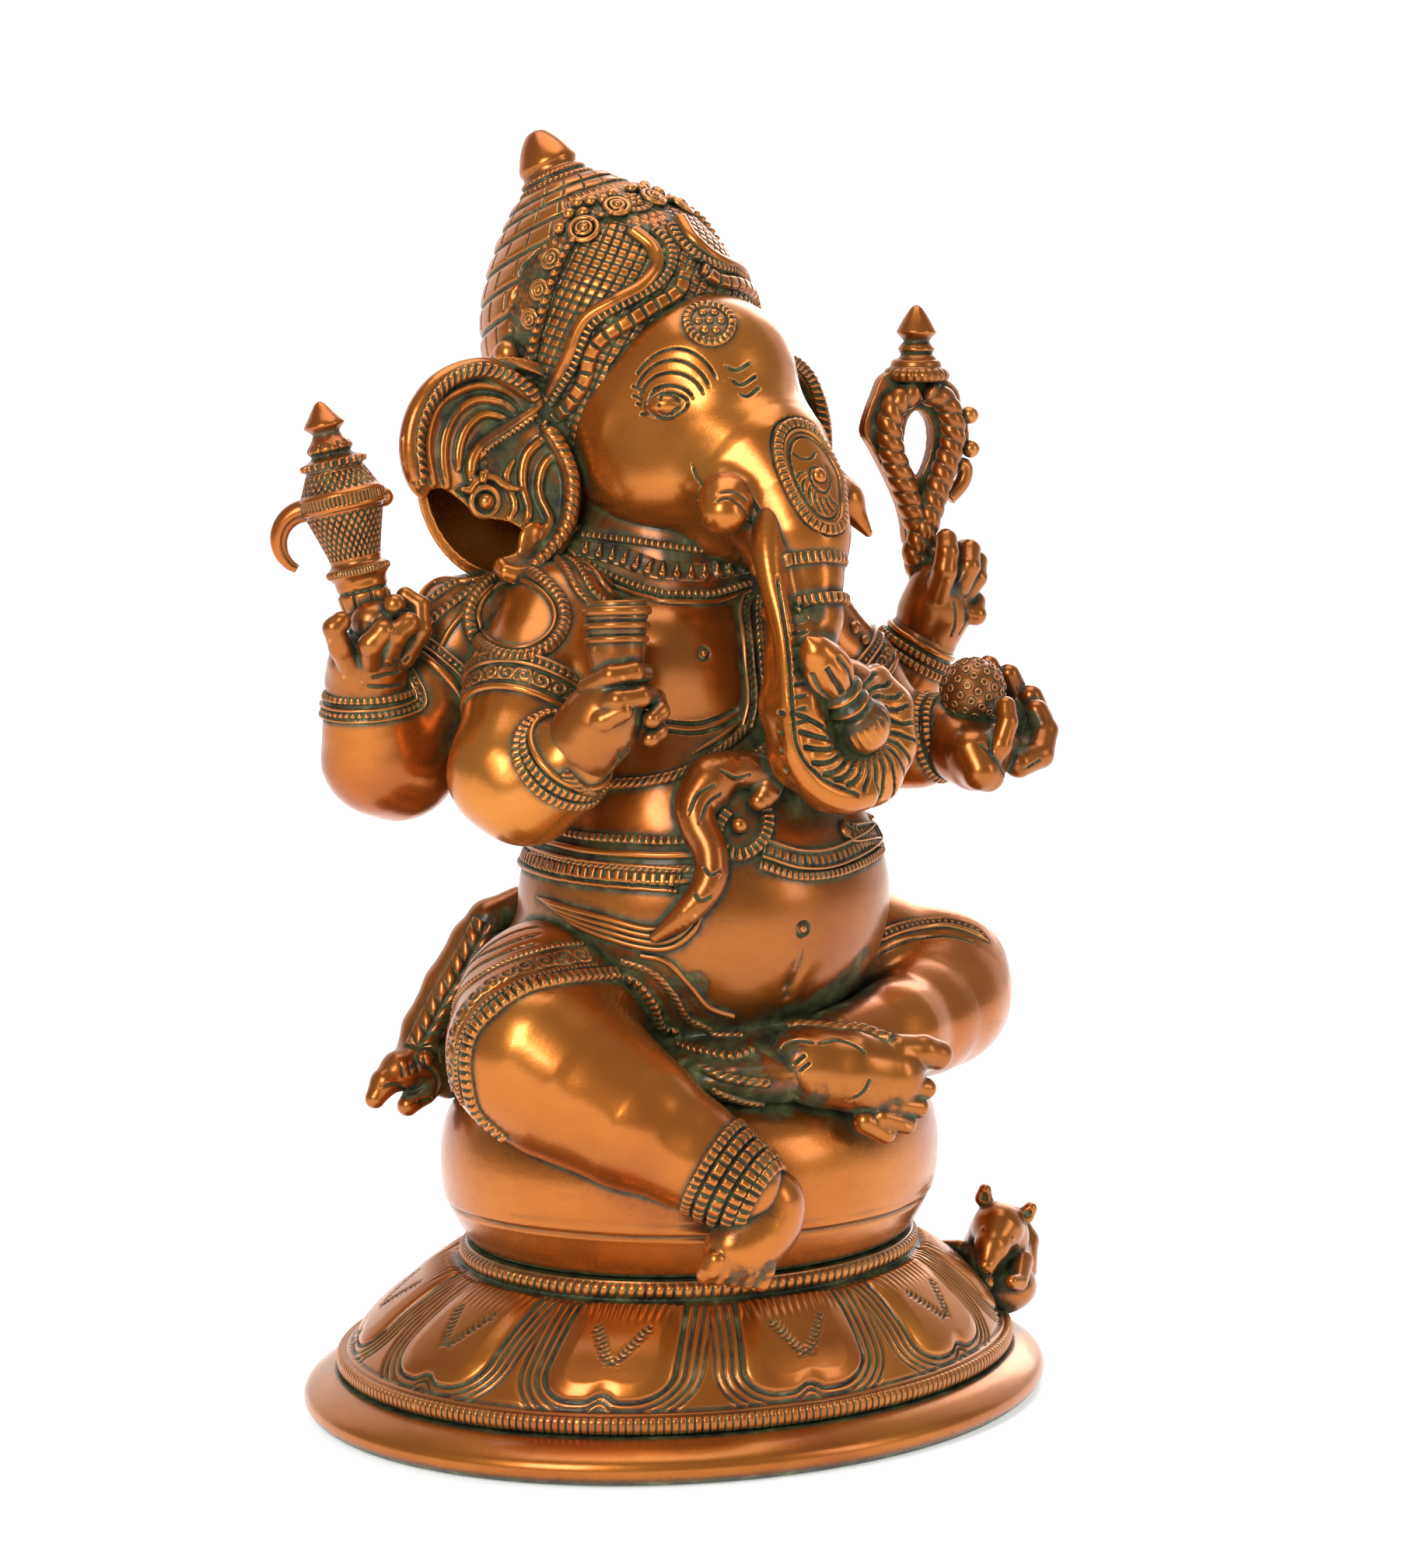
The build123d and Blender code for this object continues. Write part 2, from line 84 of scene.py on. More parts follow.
class Sculpt:
    """Blended balls, cones and rings on a grid."""

    def __init__(self, step):
        self.step = step
        self.marks = []

    def _add(self, low, high, measure, blend, cut):
        self.marks.append((np.array(low, float), np.array(high, float), measure, blend, cut))
        return self

    def limb(self, balls, blend=2.0, cut=False, inner=0.0):
        """A row of balls (x, y, z, radius) joined by cones."""
        b = np.array(balls, float)
        if len(b) == 1:
            b = np.vstack([b, b + [1e-3, 0, 0, 0]])

        def measure(x, y, z):
            d = cone_distance(x, y, z, b[0], b[1])
            for p, q in zip(b[1:-1], b[2:]):
                d = soft_min(d, cone_distance(x, y, z, p, q), inner)
            return d
        low = (b[:, :3] - b[:, 3:]).min(0)
        high = (b[:, :3] + b[:, 3:]).max(0)
        return self._add(low, high, measure, blend, cut)

    def ball(self, centre, radii, blend=2.0, cut=False, turn=None):
        """An ellipsoid.  turn holds its own axes as rows."""
        c = np.array(centre, float)
        r = np.array(radii if np.ndim(radii) else (radii,) * 3, float)
        m = np.eye(3) if turn is None else np.array(turn, float)

        def measure(x, y, z):
            px, py, pz = x - c[0], y - c[1], z - c[2]
            k0 = k1 = 0
            for row, radius in zip(m, r):
                part = (row[0] * px + row[1] * py + row[2] * pz) / radius
                k0 = k0 + part ** 2
                k1 = k1 + (part / radius) ** 2
            k0 = np.sqrt(k0)
            return k0 * (k0 - 1) / (np.sqrt(k1) + 1e-6)
        reach = np.sqrt(((m * r[:, None]) ** 2).sum(0))
        return self._add(c - reach, c + reach, measure, blend, cut)

    def ring(self, centre, axis, radius, thickness, blend=1.0, cut=False, squash=1.0):
        """A round ring about an axis.  squash stretches its section along the axis."""
        c, a = np.array(centre, float), unit(axis)

        def measure(x, y, z):
            px, py, pz = x - c[0], y - c[1], z - c[2]
            along = a[0] * px + a[1] * py + a[2] * pz
            out = np.sqrt(np.maximum(px ** 2 + py ** 2 + pz ** 2 - along ** 2, 0)) - radius
            return np.sqrt(out ** 2 + (along / squash) ** 2) - thickness
        reach = (radius + thickness) * np.sqrt(1 - a ** 2) + thickness * squash * np.abs(a) + thickness
        return self._add(c - reach, c + reach, measure, blend, cut)

    def plane_cut(self, point, normal, low, high):
        """Removes what lies on the normal's side of a plane, within a box."""
        p, n = np.array(point, float), unit(normal)

        def measure(x, y, z):
            return -(n[0] * (x - p[0]) + n[1] * (y - p[1]) + n[2] * (z - p[2]))
        return self._add(low, high, measure, 0.6, True)

    def skin(self, name):
        """Skins the blended shape with a net of quads."""
        h = self.step
        solid = [m for m in self.marks if not m[4]]
        low = np.min([m[0] - m[3] for m in solid], 0) - 4 * h
        high = np.max([m[1] + m[3] for m in solid], 0) + 4 * h
        count = np.ceil((high - low) / h).astype(int) + 1
        grid = np.full(count, 30.0, np.float32)
        for lo, hi, measure, blend, cut in self.marks:
            margin = blend + 3 * h
            i0 = np.maximum(np.floor((lo - margin - low) / h).astype(int), 0)
            i1 = np.minimum(np.ceil((hi + margin - low) / h).astype(int) + 1, count)
            if np.any(i1 <= i0):
                continue
            x, y, z = [(low[k] + h * np.arange(i0[k], i1[k])).astype(np.float32) for k in range(3)]
            d = measure(x[:, None, None], y[None, :, None], z[None, None, :])
            spot = tuple(slice(i0[k], i1[k]) for k in range(3))
            here = grid[spot]
            grid[spot] = -soft_min(-here, d, blend) if cut else soft_min(here, d, blend)
        return Skin(name, *net_of(grid, low, h))


def sample(grid, at):
    """Value of a grid between its points."""
    top = np.array(grid.shape) - 1.001
    at = np.clip(at, 0, top)
    i = at.astype(int)
    f = (at - i).astype(np.float32)
    total = 0
    for dx in (0, 1):
        for dy in (0, 1):
            for dz in (0, 1):
                weight = ((f[:, 0] if dx else 1 - f[:, 0]) * (f[:, 1] if dy else 1 - f[:, 1])
                          * (f[:, 2] if dz else 1 - f[:, 2]))
                total = total + weight * grid[i[:, 0] + dx, i[:, 1] + dy, i[:, 2] + dz]
    return total


def slope(grid, at):
    g = np.empty_like(at)
    for k in range(3):
        shift = np.zeros(3)
        shift[k] = 0.6
        g[:, k] = (sample(grid, at + shift) - sample(grid, at - shift)) / 1.2
    return g


def net_of(grid, low, h):
    """Surface net: one point in each cell that the surface crosses."""
    inside = grid < 0
    corners = [(a, b, c) for a in (0, 1) for b in (0, 1) for c in (0, 1)]
    nx, ny, nz = grid.shape

    def corner(arr, c):
        return arr[c[0]:nx - 1 + c[0], c[1]:ny - 1 + c[1], c[2]:nz - 1 + c[2]]
    hits = sum(corner(inside, c).astype(np.int8) for c in corners)
    cells = np.argwhere((hits > 0) & (hits < 8))
    number = np.full((nx - 1, ny - 1, nz - 1), -1, np.int32)
    number[tuple(cells.T)] = np.arange(len(cells))
    value = {c: grid[tuple((cells + c).T)] for c in corners}
    spot = np.zeros((len(cells), 3))
    crossings = np.zeros(len(cells))
    for c in corners:
        for k in range(3):
            if c[k]:
                continue
            d = tuple(c[j] + (j == k) for j in range(3))
            a, b = value[c], value[d]
            hit = (a < 0) != (b < 0)
            t = np.where(hit, a / np.where(hit, a - b, 1), 0)
            for j in range(3):
                spot[:, j] += np.where(hit, c[j] + (t if j == k else 0), 0)
            crossings += hit
    verts = cells + spot / crossings[:, None]
    for _ in range(2):
        g = slope(grid, verts)
        size2 = np.maximum((g ** 2).sum(1), 0.05)
        move = (sample(grid, verts) / size2)[:, None] * g
        verts = verts - np.clip(move, -0.6, 0.6)
    normals = slope(grid, verts)
    normals /= np.linalg.norm(normals, axis=1)[:, None] + 1e-9
    faces = []
    for k in range(3):
        j, m = (k + 1) % 3, (k + 2) % 3
        a = [slice(0, n) for n in grid.shape]
        b = list(a)
        a[k], b[k] = slice(0, -1), slice(1, None)
        change = inside[tuple(a)] != inside[tuple(b)]
        edge = np.argwhere(change)
        keep = ((edge[:, j] > 0) & (edge[:, m] > 0) &
                (edge[:, j] < grid.shape[j] - 1) & (edge[:, m] < grid.shape[m] - 1))
        edge = edge[keep]
        quad = []
        for dj, dm in ((1, 1), (0, 1), (0, 0), (1, 0)):
            cell = edge.copy()
            cell[:, j] -= dj
            cell[:, m] -= dm
            quad.append(number[tuple(cell.T)])
        quad = np.stack(quad, 1)
        flip = ~inside[tuple(edge.T)]
        quad[flip] = quad[flip][:, ::-1]
        faces.append(quad)
    return low + h * verts, normals, np.vstack(faces)


class Skin:
    """Points, normals and faces of one shell, in millimetres."""

    def __init__(self, name, verts, normals, faces):
        self.name = name
        self.verts = np.asarray(verts, float)
        self.normals = np.asarray(normals, float)
        self.faces = np.asarray(faces, int)
        self._tree = None

    def tree(self):
        if self._tree is None:
            self._tree = BVHTree.FromPolygons(self.verts.tolist(), self.faces.tolist())
            self._corner = self.faces
            self._smooth = self.normals.copy()
        return self._tree

    def drop(self, points):
        """Nearest places on the skin, and its normals there."""
        tree = self.tree()
        places, normals = np.empty_like(points), np.empty_like(points)
        for i, p in enumerate(points.tolist()):
            place, _, index, _ = tree.find_nearest(p)
            places[i] = place
            normals[i] = self._smooth[self._corner[index]].mean(0)
        normals /= np.linalg.norm(normals, axis=1)[:, None] + 1e-9
        return places, normals

    def near(self, path, reach):
        """Indexes of points near a path, with distance, place along it and signed offset across it."""
        low, high = path.min(0) - reach, path.max(0) + reach
        mask = np.all((self.verts > low) & (self.verts < high), 1)
        index = np.nonzero(mask)[0]
        if not len(index):
            return index, None, None, None
        gaps = np.linalg.norm(np.diff(path, axis=0), axis=1)
        run = np.concatenate([[0], np.cumsum(gaps)])
        away = np.empty(len(index))
        pick = np.empty(len(index), int)
        for start in range(0, len(index), 4000):
            part = slice(start, start + 4000)
            d = np.linalg.norm(self.verts[index[part], None] - path[None], axis=2)
            pick[part] = d.argmin(1)
            away[part] = d.min(1)
        keep = away < reach
        index, pick, away = index[keep], pick[keep], away[keep]
        tangent = np.gradient(path, axis=0)
        tangent /= np.linalg.norm(tangent, axis=1)[:, None] + 1e-9
        rel = self.verts[index] - path[pick]
        along = run[pick] + (rel * tangent[pick]).sum(1)
        side = np.cross(tangent[pick], self.normals[index])
        across = (rel * side).sum(1)
        return index, away, along, across

    def refine(self, masks, times=1):
        """Splits the faces whose points the mask marks, and closes the net round them."""
        for _ in range(times):
            marked = masks(self.verts)
            if self.faces.shape[1] == 4:
                f = self.faces
                self.faces = np.vstack([f[:, [0, 1, 2]], f[:, [0, 2, 3]]])
            f = self.faces
            chosen = marked[f].any(1)
            edges = np.sort(np.stack([f[:, [0, 1]], f[:, [1, 2]], f[:, [2, 0]]], 1), 2)
            flat = edges.reshape(-1, 2)
            key = flat[:, 0].astype(np.int64) * len(self.verts) + flat[:, 1]
            names, back = np.unique(key, return_inverse=True)
            back = back.reshape(-1, 3)
            split = np.zeros(len(names), bool)
            split[back[chosen].ravel()] = True
            middle = np.full(len(names), -1)
            middle[split] = len(self.verts) + np.arange(split.sum())
            a, b = names[split] // len(self.verts), names[split] % len(self.verts)
            normals = self.normals[a] + self.normals[b]
            normals /= np.linalg.norm(normals, axis=1)[:, None] + 1e-9
            self.verts = np.vstack([self.verts, (self.verts[a] + self.verts[b]) / 2])
            self.normals = np.vstack([self.normals, normals])
            m = middle[back]
            has = m >= 0
            out = [f[has.sum(1) == 0]]
            full = has.sum(1) == 3
            F, M = f[full], m[full]
            out += [np.stack([F[:, 0], M[:, 0], M[:, 2]], 1), np.stack([M[:, 0], F[:, 1], M[:, 1]], 1),
                    np.stack([M[:, 2], M[:, 1], F[:, 2]], 1), M]
            for r in range(3):
                F, M, H = np.roll(f, -r, 1), np.roll(m, -r, 1), np.roll(has, -r, 1)
                one = H[:, 0] & ~H[:, 1] & ~H[:, 2]
                out += [np.stack([F[one, 0], M[one, 0], F[one, 2]], 1),
                        np.stack([M[one, 0], F[one, 1], F[one, 2]], 1)]
                two = H[:, 0] & H[:, 1] & ~H[:, 2]
                out += [np.stack([F[two, 0], M[two, 0], F[two, 2]], 1),
                        np.stack([M[two, 0], F[two, 1], M[two, 1]], 1),
                        np.stack([M[two, 0], M[two, 1], F[two, 2]], 1)]
            self.faces = np.vstack(out)
        self._tree = None

    def chase(self, lines, depth=0.5, width=0.9, fine=1, stained=True):
        """Cuts grooves along lines of points.  A negative depth raises them."""
        paths = [spline(line, 0.5) for line in lines]
        paths = [self.drop(p)[0] for p in paths]
        if stained:
            STAINS.extend((*p, -0.6) for path in paths for p in path[::3])
        if fine:
            def close(verts):
                marked = np.zeros(len(verts), bool)
                for path in paths:
                    low, high = path.min(0) - 3, path.max(0) + 3
                    index = np.nonzero(np.all((verts > low) & (verts < high), 1))[0]
                    for start in range(0, len(index), 4000):
                        part = index[start:start + 4000]
                        d = np.linalg.norm(verts[part, None] - path[None], axis=2).min(1)
                        marked[part[d < 1.3 * width + 0.5]] = True
                return marked
            self.refine(close, fine)
        for path in paths:
            index, away, along, _ = self.near(path, 3 * width)
            if len(index):
                ends = np.minimum(along, along.max() - along + 0.01)
                fade = np.clip(ends / (2 * width), 0.25, 1)
                cut = depth * fade * np.exp(-(away / (0.55 * width)) ** 2)
                self.verts[index] -= self.normals[index] * cut[:, None]
        self._tree = None


def merged(*skins):
    """One skin for laying bands over several castings."""
    verts, normals, faces, base = [], [], [], 0
    for skin in skins:
        f = skin.faces
        if f.shape[1] == 4:
            f = np.vstack([f[:, [0, 1, 2]], f[:, [0, 2, 3]]])
        verts.append(skin.verts)
        normals.append(skin.normals)
        faces.append(f + base)
        base += len(skin.verts)
    return Skin("merged", np.vstack(verts), np.vstack(normals), np.vstack(faces))


EYE = np.array([-800.0, -1024, 362])    # the viewpoint of the picture that the drawings were read from
SHEET = np.array([0.0, 0, 196])         # the middle of the sheet that they are given on
SHEET_RIGHT, SHEET_FORWARD, SHEET_UP = axes_from(SHEET - EYE)


def seen(skin, drawing):
    """Lays a drawing on a skin from (right, up) mm on the sheet, which is square to the line from EYE.

    These drawings are places read off a picture, turned into millimetres. They aren't worked out
    from the castings' own sizes, so they fit only this idol seen from EYE.
    """
    tree = skin.tree()
    out = []
    for right, up in drawing:
        target = SHEET + right * SHEET_RIGHT + up * SHEET_UP
        place = tree.ray_cast(Vector(EYE), Vector(unit(target - EYE)))[0]
        if place is None:
            place = tree.find_nearest(Vector(target - 40 * SHEET_FORWARD))[0]
        out.append(place)
    return np.array(out, float)


def spline(points, spacing, closed=False):
    """A smooth line through points, as evenly spaced places."""
    p = np.array(points, float)
    if len(p) == 2 and not closed:
        n = max(2, int(np.linalg.norm(p[1] - p[0]) / spacing) + 1)
        return p[0] + (p[1] - p[0]) * np.linspace(0, 1, n)[:, None]
    if closed:
        ring = np.vstack([p[-1], p, p[0], p[1]])
    else:
        ring = np.vstack([2 * p[0] - p[1], p, 2 * p[-1] - p[-2]])
    out = []
    for a, b, c, d in zip(ring[:-3], ring[1:-2], ring[2:-1], ring[3:]):
        t = np.linspace(0, 1, 24, endpoint=False)[:, None]
        out.append(0.5 * (2 * b + (c - a) * t + (2 * a - 5 * b + 4 * c - d) * t ** 2
                          + (3 * b - a - 3 * c + d) * t ** 3))
    out = np.vstack(out + [ring[-2][None]])
    run = np.concatenate([[0], np.cumsum(np.linalg.norm(np.diff(out, axis=0), axis=1))])
    n = max(3, int(run[-1] / spacing) + 1)
    at = np.linspace(0, run[-1], n)
    return np.stack([np.interp(at, run, out[:, k]) for k in range(3)], 1)


def flowing(balls, spacing=2.0):
    """Balls (x, y, z, radius) close together along a smooth line through the given ones."""
    b = np.array(balls, float)
    path = spline(b[:, :3], spacing)
    marks = np.concatenate([[0], np.cumsum(np.linalg.norm(np.diff(b[:, :3], axis=0), axis=1))])
    size = np.interp(np.linspace(0, marks[-1], len(path)), marks, b[:, 3])
    return np.c_[path, size]


def smoothed(rows, times, closed):
    """Averages each row with its neighbours."""
    for _ in range(times):
        if closed:
            rows = (np.roll(rows, 1, 0) + 2 * rows + np.roll(rows, -1, 0)) / 4
        else:
            inner = (rows[:-2] + 2 * rows[1:-1] + rows[2:]) / 4
            rows = np.vstack([rows[:1], inner, rows[-1:]])
    return rows


# ================================================================ relief of bands
STAINS = []                             # rows: x, y, z, half width of the ornament; negative for fine grooves
PATINA = []                             # rows: x, y, z, reach of a green patch
STAIN_REACH = 3.6                       # mm past an ornament's edge at which its grime ends
STAIN_STRENGTH = 0.6
PATCH_STRENGTH = 2.6
PATCH_EDGE = 5                          # mm over which a green patch fades in


def wave(s, pitch):
    """Place within a repeat, -1 to 1."""
    return 2 * np.mod(s / pitch, 1.0) - 1


def plain(height):
    return lambda s, t: height * np.sqrt(np.clip(1 - t ** 2, 0, 1))


def beads(height, pitch):
    return lambda s, t: (height * np.sqrt(np.clip(1 - wave(s, pitch) ** 2 - t ** 2, 0.0, 1)) +
                         0.1 * (np.abs(t) < 0.95))


def rope(height, pitch, slant=0.8):
    def relief(s, t):
        w = wave(s + slant * pitch * t, pitch)
        return (height * np.sqrt(np.clip(1 - t ** 2, 0, 1)) *
                (0.45 + 0.55 * np.sqrt(np.clip(1 - w ** 2, 0, 1))))
    return relief


def ticks(height, pitch, slant=0.0, share=0.3):
    """A flat band cut across by chisel marks."""
    def relief(s, t):
        w = wave(s + slant * pitch * t, pitch)
        notch = np.exp(-(w / share) ** 2) * np.clip(1.5 - 1.5 * np.abs(t) ** 4, 0, 1)
        return height * np.clip(1 - np.abs(t) ** 6, 0, 1) * (1 - 0.75 * notch)
    return relief


def edged(middle, height, edge=0.26):
    """A band with a raised cord along each side of its middle pattern."""
    def relief(s, t):
        side = np.clip(1 - ((np.abs(t) - 1 + edge) / edge) ** 2, 0, 1)
        inner = np.clip(t / (1 - 2 * edge), -1, 1)
        return np.where(np.abs(t) > 1 - 2 * edge, height * np.sqrt(side), middle(s, inner))
    return relief


def scrolls(height, pitch):
    """Curling leaf scroll between two lines."""
    def relief(s, t):
        w = wave(s, pitch)
        flip = np.where(np.mod(np.floor(s / pitch), 2) > 0, 1, -1)
        radius = np.sqrt((w * 0.95) ** 2 + (t * flip * 0.95) ** 2)
        turn = np.arctan2(t * flip, w)
        curl = 0.5 + 0.5 * np.cos(9 * radius - turn)
        return height * (0.35 + 0.65 * curl) * np.clip(1 - np.abs(t) ** 8, 0, 1)
    return relief


def drops(height, pitch):
    """A row of hanging drop-shaped loops."""
    def relief(s, t):
        w = wave(s, pitch)
        wide = 0.42 + 0.38 * t
        body = np.sqrt(np.clip(1 - (w / np.maximum(wide, 0.1)) ** 2 - (np.maximum(t - 0.25, 0) / 0.6) ** 2,
                               0, 1))
        hollow = np.exp(-((w / 0.3) ** 2 + ((t - 0.3) / 0.35) ** 2))
        return height * (0.15 + body - 0.5 * hollow) * np.clip(1 - np.abs(t) ** 10, 0, 1)
    return relief


def braid(height, pitch):
    """Herringbone of two rows of slanted strands."""
    def relief(s, t):
        w = wave(s + 0.9 * pitch * np.abs(t), pitch)
        strand = np.sqrt(np.clip(1 - w ** 2, 0, 1))
        spine = 1 - 0.5 * np.exp(-(t / 0.12) ** 2)
        return height * np.sqrt(np.clip(1 - t ** 2, 0, 1)) * (0.4 + 0.6 * strand) * spine
    return relief


def band(skin, points, width, relief, step=0.4, closed=False, sink=1.0, raise_by=0.0, taper=0.0):
    """A strip of relief laid along a line on a skin, as a closed shell."""
    path = spline(points, step, closed)
    if closed:
        path = path[:-1]
    place, normal = skin.drop(path)
    place = smoothed(place, 3, closed)
    normal = smoothed(normal, 6, closed)
    tangent = (np.roll(place, -1, 0) - np.roll(place, 1, 0)) if closed else np.gradient(place, axis=0)
    tangent /= np.linalg.norm(tangent, axis=1)[:, None] + 1e-9
    side = np.cross(tangent, normal)
    side /= np.linalg.norm(side, axis=1)[:, None] + 1e-9
    across = max(7, int(width / step) + 1)
    t = np.linspace(-1, 1, across)
    gaps = np.linalg.norm(np.diff(place, axis=0), axis=1)
    run = np.concatenate([[0], np.cumsum(gaps)])
    STAINS.extend((*p, width / 2) for p in place[::3])
    narrow = np.ones(len(place))
    if taper:
        narrow = np.clip(np.minimum(run, run[-1] - run) / taper, 0.15, 1) ** 0.5
    grid = place[:, None] + side[:, None] * (t[None, :, None] * narrow[:, None, None] * width / 2)
    shape = grid.shape
    spot, out = skin.drop(grid.reshape(-1, 3))
    spot, out = spot.reshape(shape), out.reshape(shape)
    out = smoothed(out, 2, closed)
    height = relief(run[:, None], np.broadcast_to(t[None], shape[:2])) + raise_by
    height = height * (narrow[:, None] if taper else 1)
    top = spot + out * height[..., None]
    under = spot[:, [across - 1, across // 2, 0]] - out[:, [across - 1, across // 2, 0]] * sink
    return tube_shell(np.concatenate([top, under], 1), closed)


def tube_shell(rings, closed):
    """Faces round a row of closed sections."""
    m, n = rings.shape[:2]
    i = np.arange(m if closed else m - 1)[:, None]
    j = np.arange(n)[None, :]
    a = i * n + j
    b = i * n + (j + 1) % n
    c = ((i + 1) % m) * n + (j + 1) % n
    d = ((i + 1) % m) * n + j
    verts = rings.reshape(-1, 3)
    quads = np.stack([a, b, c, d], 2).reshape(-1, 4)
    p = verts - verts.mean(0)
    volume = sum((p[quads[:, 0]] * np.cross(p[quads[:, k]], p[quads[:, k + 1]])).sum() for k in (1, 2))
    ends = [] if closed else [list(range(n))[::-1], [(m - 1) * n + k for k in range(n)]]
    for end in ends:
        e = p[end]
        volume += (e[0] * np.cross(e[1:-1], e[2:])).sum()
    faces = quads.tolist() + ends
    if volume < 0:
        faces = [face[::-1] for face in faces]
    return verts, faces


def tube(points, radius, step=0.8, sides=14, closed=False, relief=None, squash=1.0):
    """A round bar along a line.  radius is a number or a function of the place 0 to 1."""
    path = spline(points, step, closed)
    if closed:
        path = path[:-1]
    m = len(path)
    tangent = (np.roll(path, -1, 0) - np.roll(path, 1, 0)) if closed else np.gradient(path, axis=0)
    tangent /= np.linalg.norm(tangent, axis=1)[:, None]
    ref = np.array([0.13, 0.21, 0.97])
    normal = np.empty_like(path)
    n = ref - tangent[0] * (ref @ tangent[0])
    for i in range(m):
        n = n - tangent[i] * (n @ tangent[i])
        n = n / np.linalg.norm(n)
        normal[i] = n
    side = np.cross(tangent, normal)
    share = np.linspace(0, 1, m)
    r = np.array([radius(v) for v in share]) if callable(radius) else np.full(m, float(radius))
    run = np.concatenate([[0], np.cumsum(np.linalg.norm(np.diff(path, axis=0), axis=1))])
    angle = np.linspace(0, 2 * PI, sides, endpoint=False)
    grow = relief(run[:, None], angle[None, :]) if relief else 0
    reach = r[:, None] + grow
    rings = (path[:, None] + normal[:, None] * (reach * np.cos(angle))[..., None]
             + side[:, None] * (reach * squash * np.sin(angle))[..., None])
    return tube_shell(rings, closed)


def turned_shell(profile, foot, tip, sides=72, relief=None, step=0.6):
    """A turned form from foot towards tip.  profile is (radius, height) from foot up."""
    p = np.array(profile, float)
    line = spline(np.c_[p, np.zeros(len(p))], step)[:, :2]
    side, along, up = axes_from(np.array(tip, float) - foot, (0.1, 1, 0.05))
    angle = np.linspace(0, 2 * PI, sides, endpoint=False)
    r = line[:, 0][:, None] + (relief(line[:, 1][:, None], angle[None]) if relief else 0)
    r = np.maximum(r, 0.02)
    rings = (np.array(foot, float) + along * line[:, 1][:, None, None]
             + side * (r * np.cos(angle))[..., None] + up * (r * np.sin(angle))[..., None])
    return tube_shell(rings, False)


def pearl(centre, radius, up=(0, 0, 1), flat=1.0, rows=10):
    """A small round boss."""
    s, f, u = axes_from(up, (0.3, 0.2, 0.9))
    lat = np.linspace(-PI / 2 + 0.02, PI / 2 - 0.02, rows)
    lon = np.linspace(0, 2 * PI, 2 * rows, endpoint=False)
    r = radius * np.cos(lat)[:, None]
    rings = (np.array(centre, float) + f * (flat * radius * np.sin(lat))[:, None, None]
             + s * (r * np.cos(lon))[..., None] + u * (r * np.sin(lon))[..., None])
    return tube_shell(rings, False)


# ================================================================ pieces
PIECES = []


def piece(name, nodes, shells, material):
    """Joins shells into one mesh that rides on the frame and stands for CAD nodes."""
    verts, faces, base = [], [], 0
    for shell in shells:
        if isinstance(shell, Skin):
            v, f = shell.verts, shell.faces.tolist()
        else:
            v, f = shell
        verts.append(np.asarray(v))
        faces += [[k + base for k in face] for face in f]
        base += len(v)
    mesh = bpy.data.meshes.new(name)
    mesh.from_pydata((np.vstack(verts) * MM).tolist(), [], faces)
    mesh.polygons.foreach_set("use_smooth", np.ones(len(faces), bool))
    mesh.materials.append(material)
    obj = bpy.data.objects.new(name, mesh)
    bpy.context.scene.collection.objects.link(obj)
    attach(obj, "root")
    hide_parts(*nodes)
    PIECES.append(obj)
    return obj


# ================================================================ materials
def value_ramp(tree, source, stops):
    """A ramp from a value to grey levels or colours: stops are (place, colour)."""
    ramp = tree.nodes.new("ShaderNodeValToRGB")
    ramp.color_ramp.interpolation = "EASE"
    marks = ramp.color_ramp.elements
    while len(marks) < len(stops):
        marks.new(0.5)
    for mark, (place, colour) in zip(marks, stops):
        mark.position = place
        mark.color = (*colour, 1) if np.ndim(colour) else (colour, colour, colour, 1)
    tree.links.new(source, ramp.inputs["Fac"])
    return ramp.outputs["Color"]


def noise(tree, coords, scale, detail=4.0, rough=0.55, stretch=(1, 1, 1)):
    mapping = tree.nodes.new("ShaderNodeMapping")
    mapping.inputs["Scale"].default_value = stretch
    tree.links.new(coords, mapping.inputs["Vector"])
    tex = tree.nodes.new("ShaderNodeTexNoise")
    tex.inputs["Scale"].default_value = scale
    tex.inputs["Detail"].default_value = detail
    tex.inputs["Roughness"].default_value = rough
    tree.links.new(mapping.outputs["Vector"], tex.inputs["Vector"])
    return tex.outputs["Fac"]


def blend_colour(tree, fac, a, b, mode="MIX"):
    mix = tree.nodes.new("ShaderNodeMix")
    mix.data_type = "RGBA"
    mix.blend_type = mode
    for socket, source in ((mix.inputs[0], fac), (mix.inputs[6], a), (mix.inputs[7], b)):
        if isinstance(source, (int, float)):
            socket.default_value = source
        elif isinstance(source, tuple):
            socket.default_value = (*source, 1)
        else:
            tree.links.new(source, socket)
    return mix.outputs[2]


def calc(tree, kind, a, b=0.0, clamp=True):
    node = tree.nodes.new("ShaderNodeMath")
    node.operation = kind
    node.use_clamp = clamp
    for socket, source in zip(node.inputs, (a, b)):
        if isinstance(source, (int, float)):
            socket.default_value = source
        else:
            tree.links.new(source, socket)
    return node.outputs[0]


def occlusion(tree, reach, samples=6):
    node = tree.nodes.new("ShaderNodeAmbientOcclusion")
    node.samples = samples
    node.inputs["Distance"].default_value = reach
    return node.outputs["AO"]


